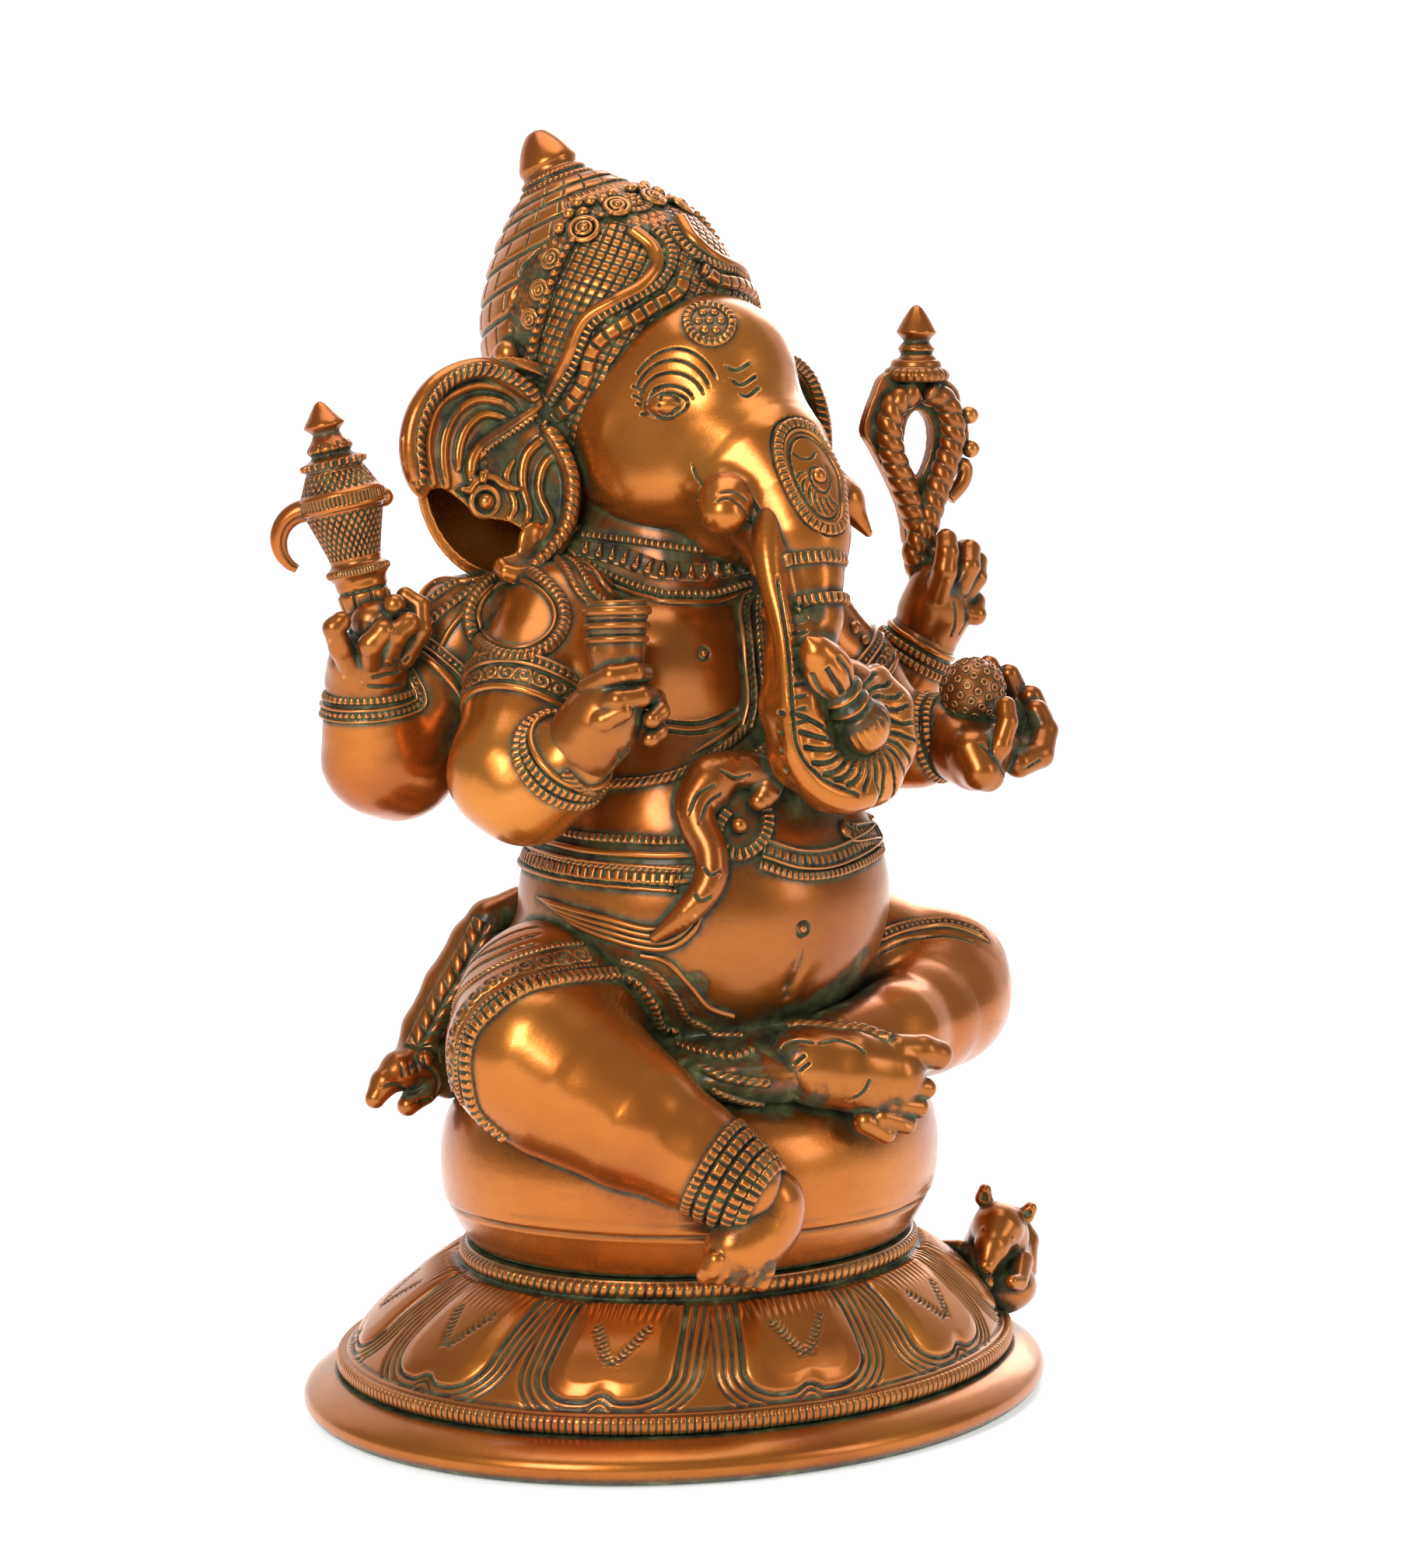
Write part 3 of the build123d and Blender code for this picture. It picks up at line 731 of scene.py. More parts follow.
def burnished_copper(name, grime_and_shade=0.0, polish=0.3, red=(0.34, 0.080, 0.010), orange=(0.48, 0.140, 0.015),
                     gold=(0.57, 0.195, 0.026)):
    """Copper-toned brass: rubbed bright on the high places, with a painted highlight on sharp edges; dark
    green patina in the recesses, and painted shade that darkens the tone in hollows and between parts.
    """
    material = bpy.data.materials.new(name)
    material.use_nodes = True
    tree = material.node_tree
    shader = tree.nodes["Principled BSDF"]
    coords = tree.nodes.new("ShaderNodeTexCoord").outputs["Object"]
    broad = noise(tree, coords, 16, 3)
    tone = value_ramp(tree, broad, [(0.30, red), (0.5, orange), (0.72, gold)])
    brushed = noise(tree, coords, 70, 6, 0.7, (1, 1, 3))
    tone = blend_colour(tree, value_ramp(tree, brushed, [(0.40, 0.0), (0.80, 0.28)]), tone,
                        (0.30, 0.072, 0.008))
    # tight is occlusion over 2 mm, for the narrow crevices where patina gathers; wide is occlusion over 12
    # mm, painted shade in broad hollows and between parts
    tight = calc(tree, "SUBTRACT", 1.0, occlusion(tree, 0.0022))
    wide = calc(tree, "SUBTRACT", 1.0, occlusion(tree, 0.012))
    grit = noise(tree, coords, 420, 4, 0.7)
    point = tree.nodes.new("ShaderNodeNewGeometry").outputs["Pointiness"]
    groove = value_ramp(tree, point, [(0.43, 1.0), (0.494, 0.0)])
    rubbed = value_ramp(tree, point, [(0.503, 0.0), (0.54, 1.0)])
    # the hollow value: patina in crevices, grooves and near ornament, less on rubbed points, plus painted
    # shade from the broad occlusion; it drives both the green cover and the darkening
    patina_and_shade = calc(tree, "ADD", calc(tree, "MULTIPLY", tight, 1.9), calc(tree, "MULTIPLY", wide, 0.74))
    patina_and_shade = calc(tree, "ADD", patina_and_shade, calc(tree, "MULTIPLY", groove, 0.6))
    near = tree.nodes.new("ShaderNodeAttribute")
    near.attribute_name = "stain"
    blot = calc(tree, "MULTIPLY", near.outputs["Fac"],
                value_ramp(tree, noise(tree, coords, 90, 4, 0.6), [(0.36, 0.1), (0.66, 1.0)]))
    patina_and_shade = calc(tree, "ADD", patina_and_shade, calc(tree, "MULTIPLY", blot, 0.42))
    patina_and_shade = calc(tree, "ADD", patina_and_shade, calc(tree, "MULTIPLY", calc(tree, "SUBTRACT", grit, 0.5, False),
                                            0.45, False))
    patina_and_shade = calc(tree, "SUBTRACT", patina_and_shade, calc(tree, "MULTIPLY", rubbed, 0.38))
    # a constant offset for the whole material: more patina, dirt and painted shade all over
    patina_and_shade = calc(tree, "ADD", patina_and_shade, grime_and_shade)
    cover = value_ramp(tree, patina_and_shade, [(0.30, 0.0), (0.62, 1.0)])
    green = value_ramp(tree, noise(tree, coords, 150, 3),
                       [(0.36, (0.012, 0.013, 0.003)), (0.54, (0.045, 0.056, 0.015)),
                        (0.76, (0.150, 0.170, 0.065))])
    # painted shade: the tone darkens towards dark brown in hollows, crevices and between parts, with some
    # dirt darkening in the crevices
    shade = value_ramp(tree, patina_and_shade, [(0.08, 0.0), (0.42, 0.88)])
    tone = blend_colour(tree, shade, tone, (0.14, 0.037, 0.006))
    # sharp raised points turn light copper: partly wear, partly a painted highlight on edges and tick tops
    edge = value_ramp(tree, point, [(0.515, 0.0), (0.58, 0.45)])
    tone = blend_colour(tree, edge, tone, (0.78, 0.31, 0.08))
    tree.links.new(blend_colour(tree, cover, tone, green), shader.inputs["Base Color"])
    tree.links.new(value_ramp(tree, cover, [(0.0, 0.78), (1.0, 0.12)]), shader.inputs["Metallic"])
    rough = calc(tree, "ADD", calc(tree, "MULTIPLY", brushed, 0.16), polish - 0.08)
    rough = calc(tree, "ADD", rough, calc(tree, "MULTIPLY", cover, 0.42))
    tree.links.new(rough, shader.inputs["Roughness"])
    shader.inputs["Coat Weight"].default_value = 0.25
    shader.inputs["Coat Roughness"].default_value = 0.12
    bump = tree.nodes.new("ShaderNodeBump")
    bump.inputs["Strength"].default_value = 0.28
    bump.inputs["Distance"].default_value = 0.0004
    relief = calc(tree, "ADD", calc(tree, "MULTIPLY", brushed, 0.4), calc(tree, "MULTIPLY", grit, 0.35))
    tree.links.new(relief, bump.inputs["Height"])
    tree.links.new(bump.outputs["Normal"], shader.inputs["Normal"])
    return material


def plated_steel():
    material = bpy.data.materials.new("plated_steel")
    material.use_nodes = True
    tree = material.node_tree
    shader = tree.nodes["Principled BSDF"]
    coords = tree.nodes.new("ShaderNodeTexCoord").outputs["Object"]
    stain = noise(tree, coords, 300, 4)
    tree.links.new(value_ramp(tree, stain, [(0.3, (0.30, 0.30, 0.31)), (0.7, (0.56, 0.56, 0.57))]),
                   shader.inputs["Base Color"])
    tree.links.new(value_ramp(tree, stain, [(0.3, 0.55), (0.7, 0.3)]), shader.inputs["Roughness"])
    shader.inputs["Metallic"].default_value = 1.0
    return material


COPPER = burnished_copper("burnished_copper", polish=0.27)
BASE_COPPER = burnished_copper("base_copper", polish=0.30, orange=(0.45, 0.135, 0.014))
AGED_COPPER = burnished_copper("aged_copper", grime_and_shade=0.06, polish=0.27)
# a darker copy of the copper with more patina cover: on the body its darker tone is painted shade for the
# less lit belly and chest; on hands and small held things it is partly patina and dirt
DARK_COPPER = burnished_copper("shaded_copper", grime_and_shade=0.09, polish=0.30, red=(0.25, 0.060, 0.008),
                               orange=(0.37, 0.108, 0.012), gold=(0.46, 0.155, 0.020))
STEEL = plated_steel()


# ================================================================ base
N_PETALS = 10
RIM_CUTS = 296                          # chisel cuts round the lotus rim, 2.2 mm apart
COLLAR_CUTS = 156                       # chisel cuts round the collar above the petals
TIER_SHIFT = np.array([1.0, -5.0])


def oval_shell(profile, around, relief=None, spacing=0.9):
    """A shell of ovals.  profile is (half width, height) from one end to the other."""
    line = spline(np.c_[np.array(profile, float), np.zeros(len(profile))], spacing)[:, :2]
    a, z = line.T
    b = a * np.interp(z, [18, 50], [0.847, 0.866])
    share = np.clip((z - 18) / 34, 0, 1)
    angle = np.linspace(0, 2 * PI, around, endpoint=False)
    da, dz = np.gradient(a), np.gradient(z)
    size = np.hypot(da, dz) + 1e-9
    out_r, out_z = dz / size, -da / size
    ca, sa = np.cos(angle)[None], np.sin(angle)[None]
    nx, ny = ca / a[:, None].clip(1), sa / b[:, None].clip(1)
    flat = np.hypot(nx, ny)
    n = np.stack([out_r[:, None] * nx / flat, out_r[:, None] * ny / flat,
                  np.repeat(out_z[:, None], around, 1)], 2)
    p = np.stack([a[:, None] * ca + share[:, None] * TIER_SHIFT[0],
                  b[:, None] * sa + share[:, None] * TIER_SHIFT[1],
                  np.repeat(z[:, None], around, 1)], 2)
    if relief is not None:
        p = p + n * relief(angle[None], a[:, None], z[:, None])[..., None]
    return p


def petal_relief(angle, a, z):
    """Round petals with nested outlines between them and a V of chisel ticks on each."""
    u = angle / (2 * PI) * N_PETALS
    pitch = 2 * PI * a * 0.93 / N_PETALS
    x = (np.mod(u + 0.306, 1) - 0.5) * pitch
    y = (46.5 - z) * 1.55
    half_x, foot_y, corner = 0.27 * pitch + 3.5, 37.5, 12.0
    qx = np.abs(x) - half_x + corner
    qy = y - foot_y + corner
    d = np.hypot(np.maximum(qx, 0), np.maximum(qy, 0)) + np.minimum(np.maximum(qx, qy), 0) - corner
    d = d + 3.4 * np.exp(-(x / 3.0) ** 2) * np.clip((y - 26) / 10, 0, 1)
    on = np.clip((46.3 - z) / 1.5, 0, 1) * np.clip((z - 19.5) / 1.5, 0, 1)
    h = 1.7 * np.clip(-d / 6, 0, 1) ** 0.6
    for level, deep in ((0.2, 1.2), (2.9, 1.0), (5.6, 0.9), (8.0, 0.8)):
        h = h - deep * np.exp(-((d - level) / 0.62) ** 2)
    for side in (-1, 1):
        sx, sy = x - side * 7.5, y - 11.0
        dx, dy = -side * 0.46, 0.89
        along = sx * dx + sy * dy
        off = sx * dy - sy * dx
        mark = np.exp(-(off / 1.7) ** 4) * np.exp(-(wave(along + 0.25 * np.abs(off), 1.7) / 0.38) ** 2)
        h = h - 0.8 * mark * (along > -1) * (along < 15.0) * (d < -1.5)
    fade = np.clip((d + 0.5) / 2, 0, 1)
    rays = 0.28 * np.cos(x * 2.6) * np.clip((10 - y) / 8, 0, 1)
    return on * (h + rays * (1 - fade))


def rim_ticks(angle, z, low, high, count, height, cut=0.27):
    """A round bead between two heights, cut across by upright chisel marks."""
    t = (2 * z - low - high) / (high - low)
    w = wave(angle * count / (2 * PI), 1.0)
    return height * np.clip(1 - np.abs(t) ** 4, 0, 1) * (1 - 0.85 * np.exp(-(w / cut) ** 2))


def lotus_relief(angle, a, z):
    outer = a > np.interp(z, [6, 14, 46], [101, 100, 68])
    collar = rim_ticks(angle, z, 46.6, 51.4, COLLAR_CUTS, 1.1)
    lines = -0.7 * np.exp(-((z - 20.2) / 0.5) ** 2) - 0.5 * np.exp(-((z - 45.8) / 0.45) ** 2)
    return np.where(outer, petal_relief(angle, a, z) + collar + lines, 0)


def rim_relief(angle, a, z):
    """Fine upright cuts all round the outer face of the lotus tier's rim."""
    return np.where(a > 109.6, rim_ticks(angle, z, 13.6, 18.8, RIM_CUTS, 1.0, cut=0.2), 0)


def build_base():
    plinth = [(105, 0.3), (117, 0.0), (121, 1.0), (123.8, 4), (123.2, 7.5), (119, 10.5), (114, 12.6),
              (112, 12.9), (106, 12.9), (105, 12), (105, 6)]
    rings = oval_shell(plinth, 420, spacing=1.0)
    shell = tube_shell(rings, True)
    piece("plinth_ring", ["plinth"], [shell], BASE_COPPER)
    lotus = [(1, 46), (40, 46), (66, 45.5), (80, 35), (97, 14), (99, 8), (101.5, 6.8), (104.2, 7.5),
             (104.6, 12), (108, 13.1), (110.4, 13.4), (110.9, 16),
             (110.4, 18.6), (108.5, 20.5), (104, 25.5), (96, 33.5), (86, 41), (78, 45.4), (74.6, 46.6),
             (75, 49), (74.2, 51.4), (71, 52.2), (40, 52), (1, 52)]
    rings = oval_shell(lotus, 1100, lotus_relief, spacing=0.62)
    rim = [(109, 14.2), (111.6, 14.0), (112.3, 16.2), (111.6, 18.4), (109, 18.6), (108, 16.4)]
    bead = oval_shell(rim, 8 * RIM_CUTS, rim_relief, spacing=0.5)
    piece("lotus_tier", ["lotus_base"], [tube_shell(rings, False), tube_shell(bead, True)], BASE_COPPER)


def cushion_relief(angle, a, z):
    seam = -0.9 * np.exp(-((z - 66 - 1.2 * np.sin(2 * angle + 0.6)) / 0.55) ** 2) * (a > 60)
    second = -0.35 * np.exp(-((z - 69.5 - 1.6 * np.sin(2 * angle + 0.4))
                              / 0.5) ** 2) * (a > 60) * (np.sin(angle) < -0.2)
    return seam + second


def build_cushion():
    profile = [(1, 99), (60, 99), (70, 90), (72, 70), (64, 54), (66, 52.6), (72, 53), (76, 58),
               (79.6, 64.5), (81.2, 68), (82.2, 76), (82, 84), (80, 92), (75, 99), (66, 104.8),
               (54, 108.2), (30, 110), (1, 110)]
    rings = oval_shell(profile, 460, cushion_relief, spacing=0.8)
    piece("round_cushion", ["seat_cushion"], [tube_shell(rings, False)], COPPER)


# ================================================================ body
def line_loop(centre, axis, radius, count=24, start=0.0, stop=2 * PI):
    """Points of a circle about an axis, for a band round a limb."""
    s, _, u = axes_from(axis, (0.2, 0.3, 0.9))
    angles = np.linspace(start, stop, count, endpoint=abs(stop - start) < 2 * PI - 1e-6)
    return np.array(centre, float) + radius * (s * np.cos(angles)[:, None] + u * np.sin(angles)[:, None])


def build_torso():
    body = Sculpt(1.0)
    body.ball((0, -13, 160), (60, 54, 50), 6)
    body.ball((0, -9, 194), (51, 44, 34), 8)
    body.ball((0, -5, 226), (50, 39, 36), 9)
    body.ball((-20, -20, 236), (22, 20, 20), 7)
    body.ball((20, -20, 236), (22, 20, 20), 7)
    body.limb([(-50, 12, 243, 19), (50, 12, 243, 19)], 10)
    body.limb([(-30, 10, 256, 18), (30, 10, 256, 18)], 8)
    body.limb([(0, 4, 254, 35), (0, 8, 281, 29)], 8)
    body.ball((-32, 8, 128), (36, 34, 28), 8)
    body.ball((32, 8, 128), (36, 34, 28), 8)
    body.ball((4, -32, 112), (44, 34, 13), 5)
    body.ball((0, 34, 205), (38, 12, 52), 8)
    body.ball((0, -48, 112), (40, 25, 11), 6)
    return body.skin("torso")


def snake_clasp(skin):
    """The snake that ties the belt: a thick body, a head at the right and a ticked loop."""
    def lifted(drawing, lift):
        place, normal = skin.drop(seen(skin, drawing))
        return place + normal * lift
    snake = Sculpt(0.5)
    body = lifted([(-7, -50), (2, -43), (9, -34), (9.5, -25), (6, -17), (5, -9), (9, -2.5), (15, 1),
                   (21, 1)], 2.0)
    snake.limb(flowing(np.c_[body, np.array([1.8, 4.0, 5.0, 5.4, 5.8, 6.4, 6.6, 6.0, 5.4])]), 2)
    head = lifted([(21, 1), (26, -1), (25.5, -6), (23.5, -9)], 3.4)
    snake.limb(flowing(np.c_[head, np.array([5.2, 5.4, 4.4, 3.0])]), 2)
    snake.ball(lifted([(10, -3)], -0.5)[0], (8, 7, 9), 3)
    snake.ball(lifted([(28.5, 0.5)], 6)[0], (1.6, 1.6, 1.6), 0.3)
    hide = snake.skin("snake")
    drawings = [[(3, -12), (6, -6), (11, -3)], [(6.5, -15), (9, -9), (13, -6)],
                [(12, 2), (18, -1), (22, 0)], [(7, -28), (10, -31), (13, -30)],
                [(4, -36), (7, -39), (10, -38)]]
    hide.chase([seen(hide, d) for d in drawings], 0.7, 0.9)
    ring = [(26, -9), (27.4, -15), (25, -21.5), (19, -25), (13, -22.5), (12, -16.5), (15, -11.5)]
    loop = band(skin, seen(skin, ring), 4.2, ticks(2.4, 2.2, share=0.35), raise_by=0.4)
    eye = lifted([(18.5, -16)], 1.2)[0]
    return [hide, loop, pearl(eye, 2.6, -SHEET_FORWARD, 0.9, 9)]


def dress_torso(skin, cover):
    """Necklace, shoulder straps, sacred thread, belts and folds."""
    out = []

    def strip(drawing, width, relief, on=cover, **more):
        out.append(band(on, seen(on, drawing), width, relief, **more))
    strip([(-30, 75), (-16.5, 73.5), (-3, 71.5), (8, 70.5), (21, 72)], 2.6, ticks(1.2, 1.9))
    strip([(-31, 71), (-19, 68.5), (-12, 66), (-5.5, 64), (8, 63.5), (21, 66)], 6.4, drops(1.9, 4.2))
    strip([(-31, 67), (-21, 62), (-10, 58), (-3, 56.5), (10, 56.5), (22, 60)], 3.0, beads(1.6, 2.0))
    strip([(-30, 64.5), (-21, 59.5), (-10, 55.5), (-3, 54), (10, 54), (22, 57.5)], 1.8, plain(1.0))
    strip([(-42, 69), (-33, 60), (-28, 54), (-26, 49)], 3.0, rope(1.5, 2.0))
    strip([(-38.5, 70), (-28, 59), (-22, 53)], 2.4, ticks(1.2, 1.8))
    strip([(-35, 71), (-24, 60), (-19, 55)], 2.0, plain(1.2))
    strip([(-60, 66), (-68, 60.5), (-76, 56), (-82, 51)], 3.2, ticks(1.4, 2.0))
    strip([(-59, 62.5), (-66, 57), (-74, 51), (-80, 46)], 3.0, ticks(1.3, 2.2))
    strip([(-57, 70), (-66, 65), (-76, 60), (-84, 54)], 2.4, plain(1.4))
    strip([(-58, 59), (-65, 52.5), (-71, 46), (-75, 39)], 2.2, plain(1.2))
    disc = [(-50.7 + 15 * math.cos(a), 49.5 + (12.4 + 2.2 * max(0, math.sin(a)) ** 3) * math.sin(a))
            for a in np.linspace(0, 2 * PI, 19)[:-1]]
    strip(disc, 4.6, rope(2.0, 2.1, 0.3), closed=True)
    inner = [(-50.7 + 0.8 * (u + 50.7), 49.5 + 0.78 * (v - 49.5)) for u, v in disc]
    strip(inner, 1.8, plain(1.0), closed=True)
    # scarf edge beside the trunk and the sacred thread that it becomes
    strip([(21, 56), (20, 49.8), (21.5, 36), (22.5, 22.8), (21, 15)], 4.0, edged(ticks(1.2, 2.3), 1.6))
    strip([(25, 56), (24.5, 49.8), (25.5, 36), (27, 22.8), (29, 15)], 2.2, ticks(1.2, 2.3))
    strip([(21, 15), (14, 8.7), (2, 1.2), (-10.5, -2), (-22.5, -3), (-36, 1)], 3.6, rope(1.8, 2.2))
    strip([(35, 15), (30.6, 11.6), (22, 5), (14, 2)], 3.4, ticks(1.4, 2.2))
    strip([(20, 17.5), (13, 12), (4, 6.5)], 2.0, plain(1.0), taper=6)
    # waist belts
    turns = np.linspace(1.05, 2 * PI - 0.75, 17)
    back = np.array([(75 * math.sin(a), -10 - 75 * math.cos(a), 189 - 11 * k / 16)
                     for k, a in enumerate(turns)])
    strip([(-44, -16), (-30, -19), (-10, -20.5), (5, -20.5)], 3.0, ticks(1.5, 2.2), skin)
    strip([(-45, -20), (-30, -23.5), (-10, -25), (6, -25)], 2.6, plain(1.5), skin)
    strip([(-45, -24), (-30, -27.5), (-10, -29.3), (7, -29.3)], 3.0, rope(1.7, 2.0), skin)
    strip([(-45, -28), (-30, -31.5), (-10, -33.3), (7, -33)], 2.2, plain(1.2), skin)
    strip([(26, -23), (38, -26.5), (50, -25), (61, -18), (67, -10), (67, -5)], 6.6,
          edged(ticks(1.4, 2.6), 2.0, 0.2), skin)
    strip([(25, -28), (38, -31.5), (52, -29.5), (63, -22.5), (69, -14)], 3.0, ticks(1.5, 2.0), skin)
    out.append(band(skin, back, 8.0, edged(ticks(1.4, 2.8), 1.9, 0.2)))
    out += snake_clasp(skin)
    # the same necklace rows over the far shoulder, and armlets' straps
    for row, width, relief in (([(-31, 71), (-19, 68.5), (-12, 66), (-5.5, 64), (6, 63.5)], 6.4,
                                drops(1.9, 4.2)),
                               ([(-31, 67), (-21, 62), (-10, 58), (-3, 56.5), (8, 56.5)], 3.0,
                                beads(1.6, 2.0)),
                               ([(-42, 69), (-33, 60), (-28, 54), (-26, 49)], 3.0, rope(1.5, 2.0))):
        line = seen(cover, row) * (-1, 1, 1)
        out.append(band(cover, line, width, relief))
    # thread and chains down the back
    out.append(band(skin, [(34, 30, 258), (24, 48, 244), (8, 52, 220), (-8, 52, 200), (-26, 46, 186)], 3.4,
                    rope(1.6, 2.2)))
    out.append(band(skin, [(34, 6, 272), (30, 26, 268), (0, 42, 264), (-30, 26, 268), (-34, 6, 272)], 5.6,
                    drops(1.7, 4.2)))
    out.append(band(skin, [(36, 8, 277), (28, 30, 274), (0, 44, 271), (-28, 30, 274), (-36, 8, 277)], 2.6,
                    beads(1.4, 2.0)))
    # flowers and a strap on the far shoulder
    strip([(47, 68), (53, 62), (59, 55), (62, 47)], 3.0, rope(1.5, 2.0))
    for right, up, size in ((52, 61, 2.2), (57, 59, 2.0), (57.5, 52, 3.2), (61, 48, 2.2), (55, 46, 2.4),
                            (58, 42, 2.0)):
        spot, normal = cover.drop(seen(cover, [(right, up)]))
        out.append(pearl(spot[0], size, normal[0], 0.8, 8))
    PATINA.extend((*p, 7)
                  for p in seen(skin, [(21, 50), (22, 36), (23, 22), (27, 12), (30, 28), (-20, 72),
                                       (0, 68)]))
    # sash drape between the belt and the lap
    for k in range(4):
        strip([(-44 + 2 * k, -38 - 1.6 * k), (-25 + k, -44 - 2.2 * k), (-8 + k, -48 - 2.0 * k),
               (1 + k, -44 - 1.6 * k), (5 + k, -37 - k)], 2.4, plain(1.6), skin, taper=8)
    # ticked hems of the lap cloth
    strip([(-22, -62), (-14, -64), (-8, -71), (-4, -79), (6, -86), (16, -88), (23, -86)], 3.4,
          ticks(1.7, 2.4), skin)
    strip([(-18, -58), (-9, -61), (-2, -68), (3, -76), (12, -81), (20, -81)], 3.0, rope(1.4, 2.2), skin)
    strip([(-12, -56), (-4, -58), (3, -65), (9, -72), (17, -75)], 2.2, plain(1.3), skin)
    lap = [(2, -66), (8, -76), (14, -84), (20, -90), (24, -98), (30, -84), (34, -76), (42, -72), (50, -66),
           (56, -60)]
    PATINA.extend((*p, 8.5) for p in seen(skin, lap))
    lap_front = [(4, -93), (11, -95), (18, -97), (25, -98), (31, -100)]
    PATINA.extend((*p, 10) for p in seen(skin, lap_front))
    strip([(6, -91), (13, -94), (21, -95.5), (28, -96)], 3.4, rope(1.9, 2.6), skin)
    strip([(10, -98), (18, -101), (26, -102.5)], 3.0, rope(1.6, 2.4), skin)
    # folds under the breast, navel
    skin.chase([seen(skin, [(-9.5, 17.5), (4, 16), (12, 17.8), (18, 20.6)]),
                seen(skin, [(-8, 14.5), (4, 13.2), (12, 14.8), (18.5, 17.6)])], 1.0, 1.0, fine=2)
    skin.chase([seen(skin, [(40, -52), (38, -60), (34, -69)]), seen(skin, [(35.5, -60), (34, -66)])], 1.1,
               3.2, 0, False)
    navel, normal = skin.drop(seen(skin, [(38.8, -48)]))
    ring = line_loop(navel[0], normal[0], 2.1, 12)
    skin.chase([np.vstack([ring, ring[:1]])], 0.9, 0.9, fine=2)
    out.append(pearl(navel[0], 1.3, normal[0], 0.7, 7))
    nipple, normal = skin.drop(seen(skin, [(7.8, 38)]))
    ring = line_loop(nipple[0], normal[0], 1.9, 12)
    skin.chase([np.vstack([ring, ring[:1]])], 0.6, 0.8, fine=2)
    out.append(pearl(nipple[0], 1.1, normal[0], 0.8, 7))
    return out


def place_lines(lines, origin, x_dir, y_dir, scale=1.0):
    """Flat drawings (x, y) set on a plane through origin."""
    o, xd, yd = np.array(origin, float), unit(x_dir), unit(y_dir)
    return [o + scale * (np.array(line, float)[:, :1] * xd + np.array(line, float)[:, 1:] * yd)
            for line in lines]


def arc(cx, cy, rx, ry, start, stop, count=12):
    a = np.linspace(math.radians(start), math.radians(stop), count)
    return np.stack([cx + rx * np.cos(a), cy + ry * np.sin(a)], 1)


# ================================================================ head
HEAD_CENTRE = np.array([0.0, 18.0, 306.0])
YAW = math.radians(5)
LEFT = np.array([math.cos(YAW), math.sin(YAW), 0])
AHEAD = np.array([math.sin(YAW), -math.cos(YAW), 0])
UP = np.array([0.0, 0, 1])
HEAD_AXES = np.array([LEFT, AHEAD, UP])


def head_at(left, ahead, up):
    return HEAD_CENTRE + left * LEFT + ahead * AHEAD + up * UP


def head_balls(rows):
    return [(*head_at(a, b, c), r) for a, b, c, r in rows]


def build_head():
    head = Sculpt(0.8)
    head.ball(head_at(0, 6, 4), (36, 42, 37), 4, turn=HEAD_AXES)
    head.limb(head_balls([(0, 20, -1, 33), (0, 38, -8, 27), (0, 53, -15, 21), (0, 63, -24, 17.2),
                          (-1, 69.5, -34, 14), (-2, 72, -43, 12.2)]), 7, inner=8)
    head.ball(head_at(0, 30, 18), (27, 24, 21), 9, turn=HEAD_AXES)
    for side in (-1, 1):
        head.ball(head_at(side * 15, 22, -16), (19, 24, 19), 8, turn=HEAD_AXES)
        head.limb(head_balls([(side * 15, 46, -14, 10), (side * 20.5, 58, -19, 7.4),
                              (side * 22, 63, -21, 6.4)]), 5)
        head.ball(head_at(side * 25.5, 36.6, 6.5), (5.6, 6.4, 4.2), 1.0, turn=HEAD_AXES)
    head.ball(head_at(0, 34, -36), (17, 20, 10), 7, turn=HEAD_AXES)
    skin = head.skin("head")
    for side in (-1, 1):
        eye = head_at(side * 26.5, 40, 6.5)
        fore = 0.74 * AHEAD - side * 0.67 * LEFT
        lines = [arc(0, 0, 6.4, 3.5, 4, 176), arc(0, 0, 6.4, 3.9, 184, 356),
                 arc(0.6, 0.2, 2.5, 2.5, 0, 350, 18),
                 arc(0, 0.3, 8.0, 5.6, 15, 165), arc(0.5, 1.0, 10.5, 8.8, 14, 165),
                 arc(0.5, 1.5, 12.5, 12.2, 18, 158), arc(1, 2, 14.5, 15.6, 22, 148),
                 [(-8, -1), (-10.5, 0.5)], [(-8.5, 1.5), (-12, 3)], [(-8.5, 4), (-12.5, 6)],
                 [(-7, -3), (-9, -2.6)]]
        skin.chase(place_lines(lines, eye, fore, UP), 0.9, 0.75, fine=2)
    # wrinkles across the brow, and the lip lines round the broken tusk
    drawings = [[(14.5, 128), (18, 126.5), (22, 128.5)], [(16, 124), (19.5, 122), (24, 124.5)],
                [(18.5, 119.5), (21.5, 118.5), (25, 121)],
                [(8, 90.5), (14, 93), (20, 90), (24, 84), (27, 76), (27.5, 67)],
                [(7.5, 85.5), (12, 89), (17, 88), (21, 84), (22, 79)],
                [(4, 97), (5.5, 93), (7, 90), (6, 86)]]
    skin.chase([seen(skin, d) for d in drawings], 1.0, 0.9, fine=2)
    return skin


